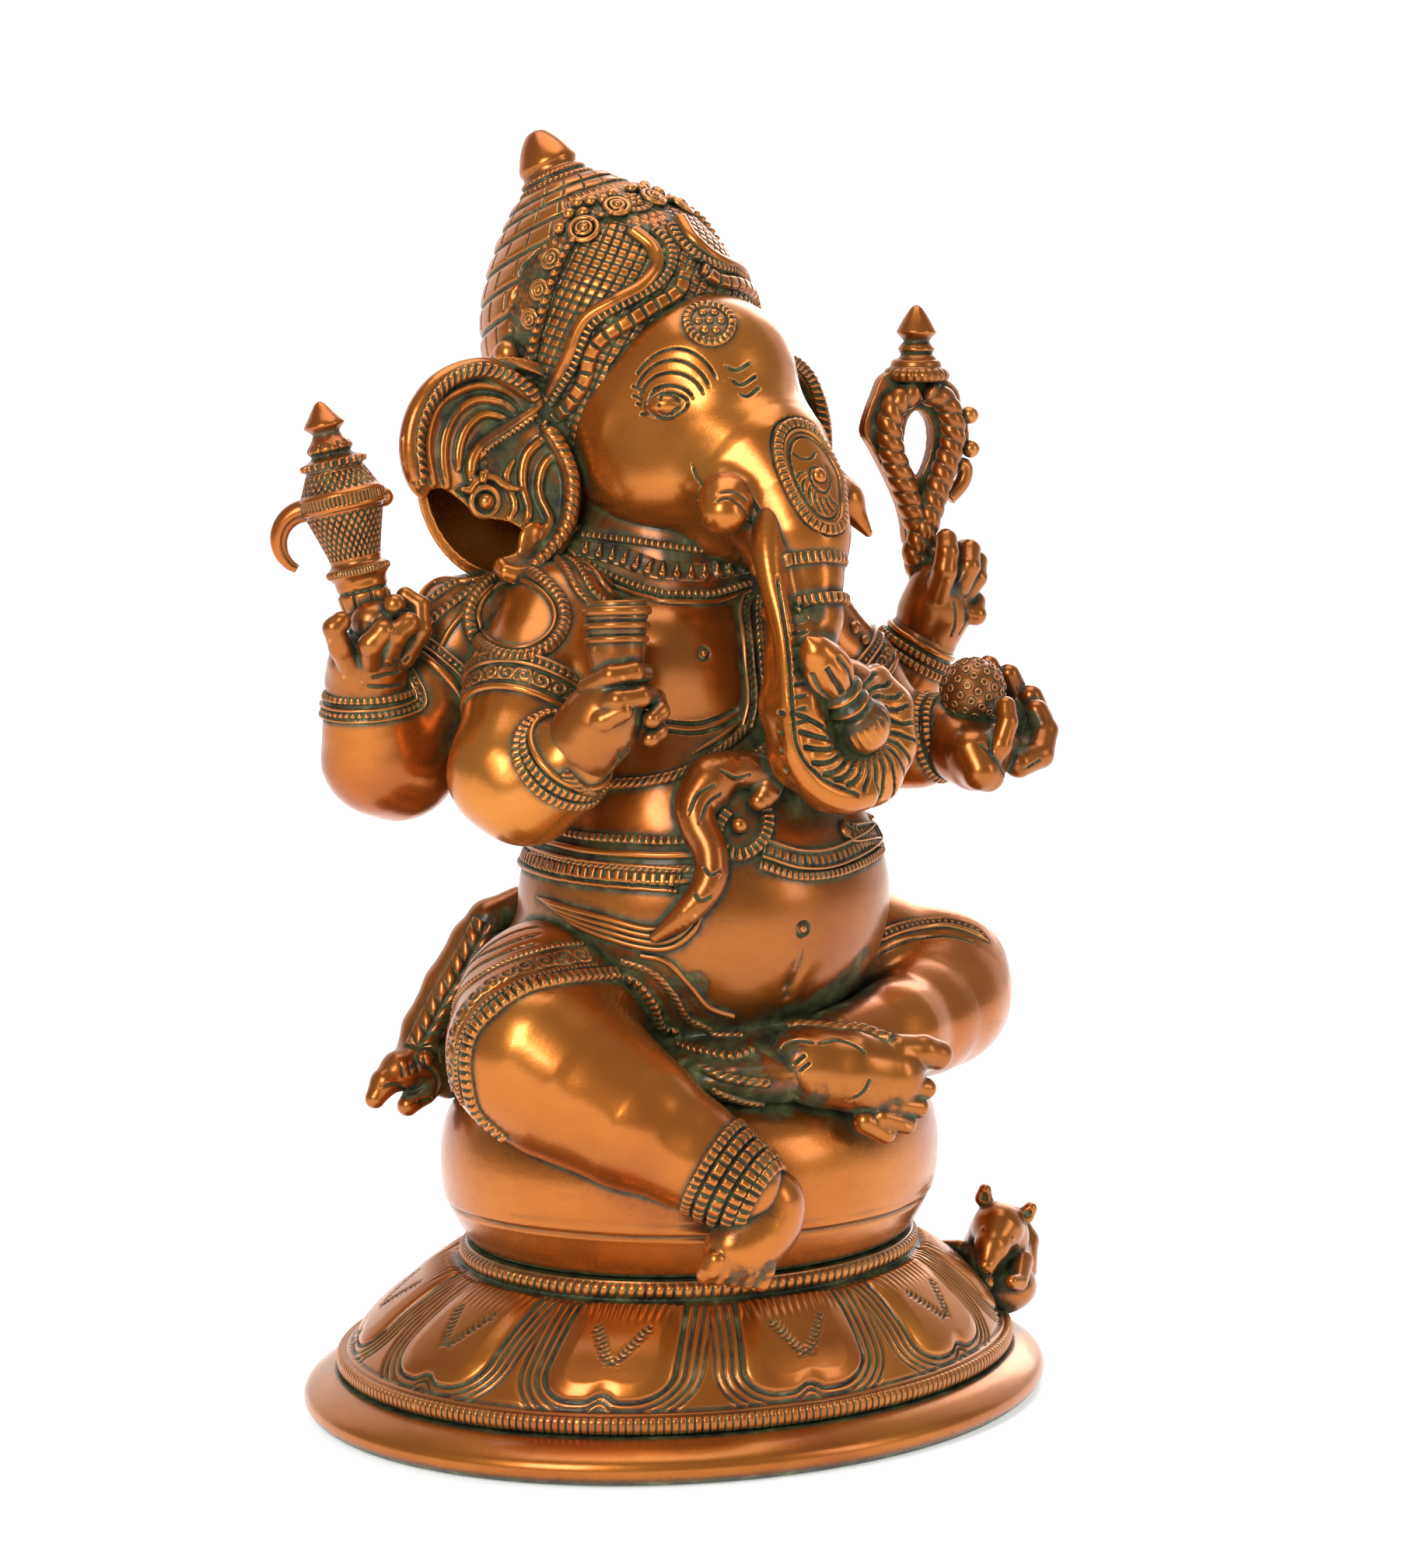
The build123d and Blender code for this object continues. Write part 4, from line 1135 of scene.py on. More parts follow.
def dress_head(skin):
    out = []
    spot, normal = skin.drop(seen(skin, [(9.5, 142)]))
    x_dir = unit(np.cross(UP, normal[0]))
    out += medallion(skin, spot[0], x_dir, np.cross(normal[0], x_dir), 7.0, 8.4)
    PATINA.append((*spot[0], 6))
    # oval plate on the root of the trunk: ticked rim, line, radiating strokes and a spiral boss
    plate = head_at(-2, 82, -13)
    x_dir, y_dir = LEFT, unit(0.82 * UP - 0.57 * AHEAD)

    def ring(rx, ry, width, relief):
        line = place_lines([arc(0, 0, rx, ry, 0, 360, 25)[:-1]], plate, x_dir, y_dir)[0]
        out.append(band(skin, line, width, relief, closed=True))
    ring(14.5, 19.0, 3.6, ticks(1.0, 2.0))
    ring(12.2, 16.4, 1.2, plain(0.8))
    strokes = []
    for k in range(-5, 9, 2):
        a = math.radians(215 + 11 * k)
        strokes.append([(5 * math.cos(a), 6.5 * math.sin(a)),
                        (7.4 * math.cos(a + 0.12), 9.8 * math.sin(a + 0.12)),
                        (9.2 * math.cos(a + 0.3), 12.4 * math.sin(a + 0.3))])
    strokes += [arc(0, 0, 10.4, 14.2, 0, 360, 24), arc(0, 0, 16.9, 21.8, 0, 360, 24),
                [(-7, 10), (-4, 7), (0, 6.6), (3, 8.5)]]
    strokes.append([((2.0 + 0.34 * k) * math.cos(0.62 * k), (2.3 + 0.42 * k) * math.sin(0.62 * k))
                    for k in range(12)])
    skin.chase(place_lines(strokes, plate, x_dir, y_dir), 0.8, 0.7, fine=2)
    boss, normal = skin.drop(np.array([plate]))
    out.append(pearl(boss[0] + 0.2 * normal[0], 2.4, normal[0], 0.6))
    return out


def medallion(skin, centre, x_dir, y_dir, rx, ry):
    """A ticked ring round a field of small pearls."""
    out = []
    rim = place_lines([arc(0, 0, rx, ry, 0, 360, 19)[:-1]], centre, x_dir, y_dir)[0]
    out.append(band(skin, rim, 3.0, ticks(1.3, 1.9), closed=True))
    spots = [(0, 0)] + [(0.5 * rx * math.cos(k * PI / 3), 0.5 * ry * math.sin(k * PI / 3))
                        for k in range(6)]
    for p, n in zip(*skin.drop(place_lines([spots], centre, x_dir, y_dir)[0])):
        out.append(pearl(p, 1.5, n, 0.7, 7))
    return out


def build_trunk():
    trunk = Sculpt(0.7)
    trunk.limb([(4, -53, 270, 12), (3.5, -56, 262, 11.5), (2, -60, 250, 10), (-4, -64, 238, 10),
                (-7, -66, 224, 10.5), (-4, -67, 210, 11), (7, -67, 203, 11.5),
                (20, -66, 203, 11), (29, -64, 210, 9.5), (32, -62, 220, 7.5), (29, -60, 229, 5)], 3,
                inner=4)
    trunk.ball((12, -62, 217), (21, 10, 20), 4)
    edge = [(-6, -52, 282, 5.4), (-11.5, -57.5, 271, 4.6), (-13.6, -62.5, 260, 3.8),
            (-14, -68.5, 246, 3.4), (-14.4, -71, 230, 3.2),
            (-14.2, -73, 216, 3.4), (-12.6, -74, 208.5, 3.8), (-9, -74.8, 202.5, 4.3),
            (-3, -75.4, 198.6, 4.8), (4, -75.6, 196.8, 5.2), (11, -75, 197, 5)]
    trunk.limb(flowing(edge), 2.4)
    trunk.limb([(-8, -56, 268, 6), (-9, -62, 250, 5), (-10, -66, 232, 5)], 3)
    trunk.ball((9, -80, 221), (14, 9, 13.5), 3, cut=True)
    trunk.limb([(-7, -77, 250, 3), (-6, -79, 236, 4), (-4, -80, 226, 5)], 2, cut=True)
    skin = trunk.skin("trunk")
    hub = np.array([9.5, -78, 219.5])
    flutes = []
    for k in range(19):
        a = math.radians(-172 + k * 13)
        lean = math.radians(-14)
        spokes = []
        for reach, turn, back in ((11.5, 0.0, 0.0), (16.5, 0.5, 0.5), (21, 1.0, 3.0), (25, 1.2, 7.0)):
            v = a + lean * turn
            spokes.append(hub + (reach * math.cos(v), back, reach * math.sin(v)))
        flutes.append(spokes)
    skin.chase(flutes, 1.5, 1.1)
    ladder = [seen(skin, [(35, v), (39.5, v + 1)]) for v in range(16, 54, 4)]
    skin.chase(ladder, 0.9, 1.0)
    skin.chase([seen(skin, [(31, 62), (32.5, 50), (34.5, 36), (35.5, 20), (37.5, 8), (44, 0), (56, -6)])],
               1.3, 1.0)
    out = [skin]
    out.append(band(skin, line_loop((3.6, -55, 264.5), (0.05, 0.32, 1), 13, 26), 4.4, ticks(1.7, 2.1),
                    closed=True))
    out.append(band(skin, line_loop((2.6, -59, 252.5), (0.0, 0.35, 1), 11, 26), 4.0, ticks(2.2, 2.2),
                    closed=True))
    PATINA.extend([(9, -72, 226, 15), (-2, -70, 240, 9), (-3, -66, 252, 7), (0, -74, 208, 9)])
    piece("trunk_coil", ["trunk"], out, AGED_COPPER)
    return skin


def build_pot():
    foot, tip = np.array([16.0, -74, 212]), np.array([-12.5, -77, 246])
    profile = [(0, 0), (5, 0.3), (8.0, 4), (8.6, 9), (7.0, 13), (5.0, 14.6), (6.8, 16.4), (5.4, 18.2),
               (4.8, 19.4), (7.0, 21.4), (5.6, 23.2), (6.6, 26), (7.8, 30), (7.2, 34), (6.0, 37),
               (4.2, 41), (0.2, 44.4)]

    def relief(height, angle):
        tick = 0.5 * np.exp(-((height - 8) / 3.2) ** 4) * (wave(angle * 22 / (2 * PI), 1) ** 2)
        bud = -1.6 * np.exp(-(wave(angle * 8 / (2 * PI), 1) / 0.3) ** 2) * (height > 24.5) * (height < 35.5)
        return tick + bud
    shell = turned_shell(profile, foot, tip, 80, relief, 0.5)
    piece("pot_with_bud", ["trunk_pot"], [shell], AGED_COPPER)


def build_tusks():
    stub = head_balls([(-17, 56, -18, 8.4), (-23, 62, -22, 8.2), (-27, 64.5, -24.5, 7.0)])
    s = Sculpt(0.5)
    s.limb(stub, 1, inner=2)
    stump = s.skin("stub")
    stump.chase([seen(stump, [(11, 85), (15, 86.5), (19, 84.5), (21.5, 80)]),
                 seen(stump, [(12, 88), (17, 88.5), (21, 86)])], 0.6, 0.8, fine=1)
    piece("broken_tusk", ["right_tusk_stub"], [stump], COPPER)
    s = Sculpt(0.5)
    s.limb(head_balls([(20, 58, -17, 7.2), (24, 65, -23, 5.6), (29, 70, -33, 1.4)]), 1, inner=2)
    piece("whole_tusk", ["left_tusk"], [s.skin("tusk")], COPPER)


# ================================================================ crown
CROWN_AT = np.array([-3.0, 28, 334])
CROWN_AIM = unit((-13, 22, 57))
CROWN_FRONT = unit(AHEAD - CROWN_AIM * (AHEAD @ CROWN_AIM))
CROWN_RIGHT = np.cross(CROWN_FRONT, CROWN_AIM)


def crown_skirt(turn):
    """How low the crown's edge comes, by degrees from the front."""
    return np.interp(turn, [0, 12, 25, 40, 50, 60, 75, 92, 108, 130, 180],
                     [-4, -6.5, -9, -11, -15, -23, -31, -34, -28, -18, -15])


def crown_radius(t):
    return np.interp(t, [-36, -20, -12, -6, 2, 12, 22, 31, 39, 46, 50, 53],
                     [37.5, 40, 41.2, 42, 41.6, 39.6, 35.6, 29.6, 22.8, 15.4, 10.6, 8.2])


def crown_spot(turn, t, lift=0.0):
    """A place on the crown: degrees from the front towards the idol's right, height along its axis."""
    a = np.radians(turn)
    r = crown_radius(t) + lift
    return (CROWN_AT + CROWN_AIM * np.expand_dims(t, -1) + CROWN_FRONT * np.expand_dims(r * np.cos(a), -1)
            + CROWN_RIGHT * np.expand_dims(r * np.sin(a), -1))


def crown_tiers(turn, t):
    """Stacked bands with short incised strokes."""
    edges = [-13, -5, 4, 13, 21.5, 29, 35.5, 41, 44.5, 48]
    h = np.zeros_like(t)
    for low, high in zip(edges[:-1], edges[1:]):
        share = (t - low) / (high - low)
        on = (share > 0) & (share < 1)
        swell = np.clip(1 - (2 * share - 1) ** 4, 0, 1)
        strokes = np.exp(-(wave(turn + 3 * low + 4 * share, 11.0 + 0.2 * max(low, 0))
                           / 0.09) ** 2) * (share > 0.2) * (share < 0.8)
        h = np.where(on, 1.7 * swell - 0.9 * strokes, h)
    return h


def crown_panel(turn, t):
    """Cross-hatching: two families of fine grooves."""
    x = np.radians(turn) * 41
    a = wave(0.85 * x + t, 3.9)
    b = wave(0.85 * x - t, 3.9)
    return 1.1 - 0.8 * np.exp(-(a / 0.2) ** 2) - 0.8 * np.exp(-(b / 0.2) ** 2)


def build_crown():
    rows, cols = 190, 760
    turn = np.linspace(-180, 180, cols, endpoint=False)[None, :].repeat(rows, 0)
    off = np.abs(turn)
    low = crown_skirt(off)
    t = low + (51.5 - low) * np.linspace(0, 1, rows)[:, None]
    top = np.interp(off, [0, 6, 20, 40, 55, 65, 75, 84, 92], [14, 19, 27.5, 24.5, 17, 8, 0, -8, -20])
    inside = np.clip((top - t) / 1.2, 0, 1) * np.clip((95 - off) / 2, 0, 1)
    side = np.clip((off - np.interp(t, [-30, 0, 12, 25, 33], [100, 92, 86, 74, 40])) / 3, 0, 1)
    tiers = np.where(t > 41, 1, side)
    between = 0.5 + 0.35 * np.sin(turn * 1.1) * np.sin(t * 1.3)
    h = (crown_panel(turn, t) * inside + crown_tiers(turn, t) * (1 - inside) * tiers +
         between * (1 - inside) * (1 - tiers))
    verts = crown_spot(turn, t, h)
    under = crown_spot(turn[:1], t[:1], -3.0)
    deep = crown_spot(turn[:1], t[:1] + 9, -4.5)
    rings = np.concatenate([deep, under, verts])
    smooth = crown_spot(turn, t, 0.8)
    outward = (smooth - CROWN_AT - CROWN_AIM
               * ((smooth - CROWN_AT) @ CROWN_AIM)[..., None]).reshape(-1, 3) / 40
    grid = Skin("crown", smooth.reshape(-1, 3), outward, np.array(tube_shell(smooth, False)[1][:-2]))
    edges = [(4.8, plain(2.8), [(-15, 170.4), (-8.5, 164.8), (-7.5, 158.3), (-12.1, 152.4), (-20.6, 147.8),
                                (-28.4, 143), (-32, 137.4), (-34, 130.8), (-37.9, 123.1), (-41.5, 117.5)]),
             (3.6, ticks(2.0, 2.0), [(-8.5, 170.4), (-3.6, 165.8), (-2.7, 159.2), (-6.6, 153.4),
                                     (-14.1, 148.8), (-21.6, 144.9), (-27.4, 140.3), (-30.1, 134.5),
                                     (-33, 126.9), (-37.9, 119.4), (-40, 115.5)]),
             (4.8, ticks(2.6, 4.4, share=0.16), [(1, 156.3), (-0.7, 150.7), (-8.5, 145.9), (-16, 141.3),
                                                 (-23.5, 136.4), (-27.4, 130.8), (-29.1, 123.1),
                                                 (-34, 115.5), (-37.9, 111.9)])]
    out = [tube_shell(rings, False)]
    for side in (1, -1):
        def strip(places, width, relief, lift=0.0, taper=0.0):
            line = [crown_spot(np.array(side * a), np.array(float(b))) for a, b in places]
            out.append(band(grid, line, width, relief, raise_by=lift, taper=taper))
        for width, relief, drawing in edges:
            line = seen(grid, drawing)
            if side < 0:
                line = line - 2 * ((line - CROWN_AT) @ CROWN_RIGHT)[:, None] * CROWN_RIGHT
            out.append(band(grid, line, width, relief))
            PATINA.extend((*p, 5) for p in line[::2])
        strip([(12, 28.5), (28, 29.5), (44, 25.5), (57, 18), (67, 9), (77, 0), (86, -9), (92, -22)], 3.0,
              beads(2.2, 3.0), 0.8)
        for a, b, size in ((14, 31, 4.6), (37, 27.5, 5.4), (57, 22.5, 3.6), (66, 15, 3.4), (74, 8, 3.4)):
            spot = crown_spot(np.array(side * a), np.array(b), 2.2)
            lean = unit(spot - CROWN_AT - CROWN_AIM * 8)
            rim = line_loop(spot, lean, size * 0.78, 14)
            out.append(tube(rim, 0.9, 0.6, 8, True))
            out.append(tube(line_loop(spot + 0.5 * lean, lean, size * 0.42, 10), 0.7, 0.5, 8, True))
            out.append(pearl(spot + 0.4 * lean, size * 0.32, lean, 0.9, 6))
        for a, b in ((25, 36), (33, 37), (41, 34.5), (49, 31), (33, 33), (17, 35), (9, 36)):
            spot = crown_spot(np.array(side * a), np.array(b), 1.7)
            out.append(pearl(spot, 2.0, unit(spot - CROWN_AT), 0.9, 7))
        for a, b, size in ((92, 2, 4.6), (88, -8, 3.2), (93, -17, 4.4), (83, -15, 2.6)):
            spot = crown_spot(np.array(side * a), np.array(b), 2.0)
            out.append(pearl(spot, size, unit(spot - CROWN_AT), 0.9, 9))
    out += medallion(grid, crown_spot(np.array(0.0), np.array(31.0)), CROWN_RIGHT, CROWN_AIM, 5, 5)
    PATINA.extend((*crown_spot(np.array(float(a)), np.array(float(b))), 9)
                  for a, b in ((84, 8), (88, -8), (80, -22), (66, 22), (-84, 8), (-66, 22)))
    piece("crown_cap", ["crown"], out, AGED_COPPER)
    finial_foot = CROWN_AT + CROWN_AIM * 45
    profile = [(10, 0), (12.4, 3), (12.2, 4.6), (10.4, 5.4), (10.8, 6.8), (9.4, 8), (9.2, 9.6), (9.6, 11),
               (8.8, 13.5), (6.4, 18), (3.4, 21.4), (0.4, 22.6)]

    def relief(height, angle):
        rim = np.exp(-((height - 4) / 1.4) ** 4) + 0.6 * np.exp(-((height - 7) / 0.8) ** 4)
        return -0.55 * rim * np.exp(-(wave(angle * 40 / (2 * PI), 1) / 0.35) ** 2)
    shell = turned_shell(profile, finial_foot, finial_foot + CROWN_AIM * 22.6, 220, relief, 0.35)
    piece("crown_bud", ["crown_finial"], [shell], COPPER)
    return grid


# ================================================================ ears
EAR_PLATE = [(7, 10), (12, 16), (18, 20), (25, 22), (35, 21), (44, 16.5), (51, 8.5), (54.5, -1.5),
             (54, -10), (51, -17), (47, -19.5),
             (44, -17), (39, -17), (33, -21), (28, -25.5), (22, -26.5), (17, -28), (13, -32), (18, -36),
             (25, -38), (27, -41), (24.5, -44.5),
             (18, -45.5), (10.5, -41.5), (5, -35.5), (0.5, -28), (-2, -19.5), (-1.5, -11), (0, -3),
             (-3, 4), (2, 9)]


def outline_distance(px, py, outline):
    """Signed distance in the plane to a closed outline, negative inside."""
    p = np.array(outline, float)
    q = np.roll(p, -1, 0)
    best = np.full(px.shape, 1e9, np.float32)
    inside = np.zeros(px.shape, bool)
    for (ax, ay), (bx, by) in zip(p, q):
        ex, ey = bx - ax, by - ay
        wx, wy = px - ax, py - ay
        t = np.clip((wx * ex + wy * ey) / (ex * ex + ey * ey), 0, 1)
        best = np.minimum(best, (wx - ex * t) ** 2 + (wy - ey * t) ** 2)
        cross = ((ay <= py) != (by <= py)) & (px < ex * (py - ay) / (by - ay + 1e-9) + ax)
        inside ^= cross
    return np.where(inside, -1, 1) * np.sqrt(best)


def ear_cup(x, y):
    """How far forward the ear's dish stands at a place."""
    return 62 - np.sqrt(np.maximum(62 ** 2 - (x - 22) ** 2 - y ** 2, 100))


def build_ear(side):
    """side is 1 for the left ear, -1 for the right."""
    yaw = YAW + math.radians(side * 18)
    out_dir = side * np.array([math.cos(yaw), math.sin(yaw), 0])
    fore = np.array([math.sin(yaw), -math.cos(yaw), 0])
    hinge = head_at(side * 36, 0, -2)

    def place(x, y, lift=0.0):
        x, y = np.asarray(x, float), np.asarray(y, float)
        w = ear_cup(x, y) + lift
        return hinge + out_dir * x[..., None] + UP * y[..., None] + fore * w[..., None]
    outline = spline([(x, y, 0) for x, y in EAR_PLATE], 1.6, True)[:-1, :2]
    ear = Sculpt(0.55)

    def local(x, y, z):
        px, py, pz = x - hinge[0], y - hinge[1], z - hinge[2]
        lx = px * out_dir[0] + py * out_dir[1]
        lw = px * fore[0] + py * fore[1]
        return (np.broadcast_to(lx, np.broadcast(lx, pz).shape),
                np.broadcast_to(pz, np.broadcast(lx, pz).shape), lw)

    def plate(x, y, z):
        lx, ly, lw = local(x, y, z)
        d = outline_distance(lx, ly, outline)
        back = np.abs(lw - ear_cup(lx, ly) + 1.2) - 1.3
        return np.maximum(d, back)
    low = place([-4, 56, -4, 56], [-47, -47, 23, 23]).min(0) - 24
    high = place([-4, 56, -4, 56], [-47, -47, 23, 23]).max(0) + 24
    PATINA.extend((*place(x, y), reach)
                  for x, y, reach in ((8, -20, 9), (20, -4, 9), (30, -22, 8), (38, 6, 7), (16, 6, 7)))
    ear._add(low, high, plate, 0.5, False)

    def back_bowl(x, y, z):
        lx, ly, lw = local(x, y, z)
        gap = np.sqrt(((lx - 17) / 29) ** 2 + ((ly + 12) / 33) ** 2 + ((lw - 4) / 17) ** 2)
        shell = np.abs(gap - 1) * 17 - 0.9
        return np.maximum(np.maximum(shell, lw - ear_cup(lx, ly) + 1.0), lw - 3)
    ear._add(low, high, back_bowl, 1.0, False)

    def rib(points, radius, lift=0.0, ends=0.6):
        rows = spline([(x, y, 0) for x, y in points], 2.5)
        size = radius * np.clip(
            np.minimum(np.arange(len(rows)), np.arange(len(rows))[::-1]) / 3 + ends, 0, 1)
        p = place(rows[:, 0], rows[:, 1], lift)
        ear.limb(np.c_[p, size], 0.5)
    rib([(7.5, 9.5), (13, 13.5), (19, 17), (26, 19.5), (35, 18), (43, 13.5), (48.5, 6.5), (51, -1),
         (51, -8), (49.5, -15)], 3.1, 0.6)
    rib([(10, 5), (16, 12), (25, 14.5), (33, 13), (41, 8), (44.5, -1), (44.5, -9), (43, -15)], 1.7, 0.2)
    rib([(12, 3), (18, 8.5), (27, 10), (34, 6), (38, -1), (39, -9), (38, -16)], 1.6, 0.3)
    rib([(16, 3.5), (24, 5.5), (30, 1.5), (33, -5), (33.5, -11)], 1.5, 0.3)
    rib([(7, 8), (12, 4.5), (19, 0), (25, -3.5), (29, -8.5), (30, -14.5)], 2.0, 1.0)
    rib([(33.5, -17), (31, -17.5), (28, -14.5), (23, -13.5), (19, -16.5), (15, -17.5)], 1.4, 1.8)
    rib([(5, -2), (11, -7.5), (13, -16), (12, -24), (14, -28)], 1.6, 0.4)
    rib([(1, -6), (6, -11), (8, -19), (6, -27), (9, -33)], 1.6, 0.4)
    rib([(15, -9), (18, -14), (16, -22), (18, -26)], 1.3, 0.3)
    rib([(5, 1), (1, -6), (-1.5, -14), (0, -24), (4, -32), (10, -38), (17, -42), (23.5, -42), (25, -39)],
        2.8, 1.0)
    ear.ball(place(12, -34, -1), (6, 2.5, 7), 2)
    ear.limb([(*place(4, 0, -5), 5), (*place(-7, -1, -7), 6)], 3)
    skin = ear.skin("ear")
    out = [skin]

    def strip(points, width, relief, **more):
        x, y = np.array(points, float).T
        out.append(band(skin, place(x, y, 2.5), width, relief, **more))
    strip([(9, 10.5), (14, 14.5), (20, 17.5), (27, 19.3), (35, 17.8), (42.5, 13), (47.5, 6), (49.7, -1),
           (49.7, -8), (48.5, -15)], 4.6, ticks(1.3, 2.5, 0.5, 0.42))
    strip([(5, 1), (1, -6), (-1.2, -14), (0.5, -24), (4, -31), (10, -37), (16, -41)], 4.8,
          rope(1.5, 2.9, 0.5))
    strip([(6, 4.5), (12, 0.5), (18, -3.5), (23, -7), (25.5, -11), (27, -15)], 2.8, ticks(1.2, 1.7))
    rose = place(np.array(26.0), np.array(-21.0), 0.8)
    out.append(tube(line_loop(rose, fore, 4.3, 20), 1.2, 0.7, 9, True))
    out.append(pearl(rose + fore, 2.6, fore, 1.0, 9))
    name = "right" if side < 0 else "left"
    piece(name + "_ear_fan", [name + "_ear"], out, AGED_COPPER)


# ================================================================ limbs
def bracelet(skin, centre, axis, radius, rows, start=0.0, stop=2 * PI):
    """Rows of ticked bands round a limb.  rows is (offset along the axis, width, relief)."""
    out = []
    a = unit(axis)
    for offset, width, relief in rows:
        full = abs(stop - start) > 2 * PI - 1e-6
        loop = line_loop(np.array(centre, float) + a * offset, a, radius, 26, start, stop)
        out.append(band(skin, loop, width, relief, closed=full, taper=0 if full else 4))
    return out


def build_legs():
    leg = Sculpt(0.9)
    leg.limb([(-34, 0, 130, 28), (-58, -12, 128, 28.5), (-74, -26, 121, 26), (-66, -40, 112, 23)], 3,
             inner=6)
    leg.limb([(-68, -36, 113, 25), (-58, -52, 103, 20.5), (-48, -66, 94, 16), (-39, -79, 85, 13)], 5,
             inner=5)
    leg.ball((-46, 8, 118), (33, 26, 20), 6)
    leg.limb([(-50, 26, 106, 10), (-28, 20, 104, 11)], 6)
    skin = leg.skin("right_leg")
    hem = [(-19.7, -61.9), (-37.1, -63.8), (-48, -66.7), (-57, -72.6), (-63.5, -79.4), (-66, -87.1),
           (-65.5, -96.8), (-62.5, -105.6), (-54, -113)]
    trim = [(-28, -56), (-43, -58.5), (-53, -62), (-62, -67.5), (-68, -75), (-71, -83.3), (-71, -92),
            (-69.5, -99)]
    folds = [[(-43 - 0.5 * k, -47 - 2.6 * k), (-56 - 0.6 * k, -51 - 2.8 * k),
              (-66 - 0.8 * k, -58 - 3.2 * k), (-72, -66 - 4 * k)] for k in range(3)]
    skin.chase([seen(skin, line) for line in folds], 0.8, 1.0)
    knot = [[(-19 + 5.4 * k + 2.6 * math.cos(a), -62 - 1.5 * k + 2.6 * math.sin(a))
             for a in np.linspace(PI, 2.2 * PI, 7)] for k in range(3)]
    skin.chase([seen(skin, line) for line in knot], 0.8, 1.0)
    out = [skin]
    out.append(band(skin, seen(skin, hem), 4.4, ticks(2.0, 2.6, share=0.22)))
    out.append(band(skin, seen(skin, trim), 6.4, scrolls(1.0, 6.0)))
    for off in (-3.9, 3.9):
        edge = [(u - 0.55 * off, v + 0.85 * off) for u, v in trim]
        out.append(band(skin, seen(skin, edge), 1.8, ticks(1.0, 1.6)))
    out += bracelet(skin, (-39.5, -78, 86), (9, -15, -9), 14,
                    [(-8, 3.6, ticks(1.4, 2.4)), (-3.6, 4.2, ticks(1.9, 3.0)), (1.0, 4.4, ticks(2.1, 3.2)),
                     (5.6, 4.2, ticks(2.0, 2.8)), (10.2, 4.2, ticks(1.9, 2.8))])
    PATINA.extend([(-38, -88, 76, 7), (-46, -84, 70, 7), (-28, -80, 94, 6)])
    piece("right_leg_bent", ["right_leg"], out, COPPER)

    leg = Sculpt(0.9)
    leg.limb([(36, 0, 131, 27), (62, -10, 130, 26.5), (86, -23, 124, 24), (80, -34, 120, 20)], 3, inner=6)
    leg.limb([(84, -28, 121, 22), (66, -40, 118, 18), (46, -50, 117, 15), (14, -58, 117, 11.5)], 5, inner=5)
    leg.ball((58, 8, 120), (34, 24, 18), 6)
    leg.limb([(56, 24, 106, 10), (26, 18, 104, 11)], 6)
    skin = leg.skin("left_leg")
    out = [skin]
    out.append(band(skin, seen(skin, [(59, -52), (70, -47.5), (81, -46), (91, -48), (97, -52)]), 4.0,
                    edged(ticks(1.0, 2.2), 1.3), taper=5))
    skin.chase([seen(skin, [(62, -56), (72, -51.5), (82, -50), (92, -52)])], 0.6, 0.9)
    PATINA.extend([(-6, -62, 116, 13), (8, -60, 117, 12), (22, -58, 118, 10), (34, -44, 128, 9)])
    piece("left_leg_folded", ["left_leg"], out, COPPER)


def build_feet():
    foot = Sculpt(0.55)
    foot.limb([(-31, -82, 80, 10.5), (-35, -82, 72, 10.5), (-42, -80, 65, 9)], 3, inner=3)
    foot.ball((-28.5, -82, 75.5), (9, 9, 11), 4)
    foot.ball((-40, -83, 68), (12, 8.5, 10), 4)
    for k in range(5):
        x = -35 - 4.2 * k
        foot.limb([(x, -87 + 0.8 * k, 66 - k * 0.2, 3.4), (x - 1.5, -88 + 1.2 * k, 60.5 + k * 0.5, 3.0),
                   (x - 2, -87 + 1.4 * k, 57 + 0.9 * k, 2.7)], 0.8)
    skin = foot.skin("right_foot")
    PATINA.extend([(-44, -86, 60, 8), (-38, -90, 62, 6)])
    piece("right_foot_toes", ["right_foot"], [skin], COPPER)

    foot = Sculpt(0.5)
    foot.limb([(-3, -64, 115.5, 11), (10, -72, 112.5, 12), (21, -77, 110.5, 11)], 3, inner=3)
    foot.ball((0, -68, 113), (11, 9, 11), 4)
    foot.ball((18, -77, 108), (11, 7.5, 12), 4)
    foot.limb([(22, -79.5, 118, 5.4), (30, -82, 117.5, 5.0), (35, -83, 116, 4.7)], 1.2, inner=1)
    for start, tip in (((20, -82, 108.5), (29, -84.5, 106.5)), ((17, -82, 103), (26, -84.5, 101)),
                       ((14, -81.5, 99), (21.5, -84, 96.5)), ((9, -79.5, 98), (15, -82, 94))):
        foot.limb([(*start, 3.8), (*tip, 3.3)], 0.7)
    skin = foot.skin("left_foot")
    creases = [[(31.3, -86.2), (33.7, -83.7), (38.1, -82.8), (41.5, -83.3)],
               [(44.4, -83.7), (49.8, -82.5), (54.6, -84), (58, -86.4)],
               [(53.2, -101.5), (57.5, -99), (59.5, -95.4)], [(35.2, -90.8), (39, -87.6)],
               [(36.7, -93), (40.5, -90)]]
    skin.chase([seen(skin, line) for line in creases], 0.8, 0.9)
    chain = band(skin, seen(skin, [(33, -76), (40, -74.5), (49, -76.5), (59.5, -79), (66, -82)]), 4.0,
                 rope(2.0, 3.0))
    PATINA.extend([(-4, -72, 108, 7), (16, -82, 103, 6), (22, -84, 98, 5)])
    piece("left_foot_toes", ["left_foot"], [skin, chain], DARK_COPPER)


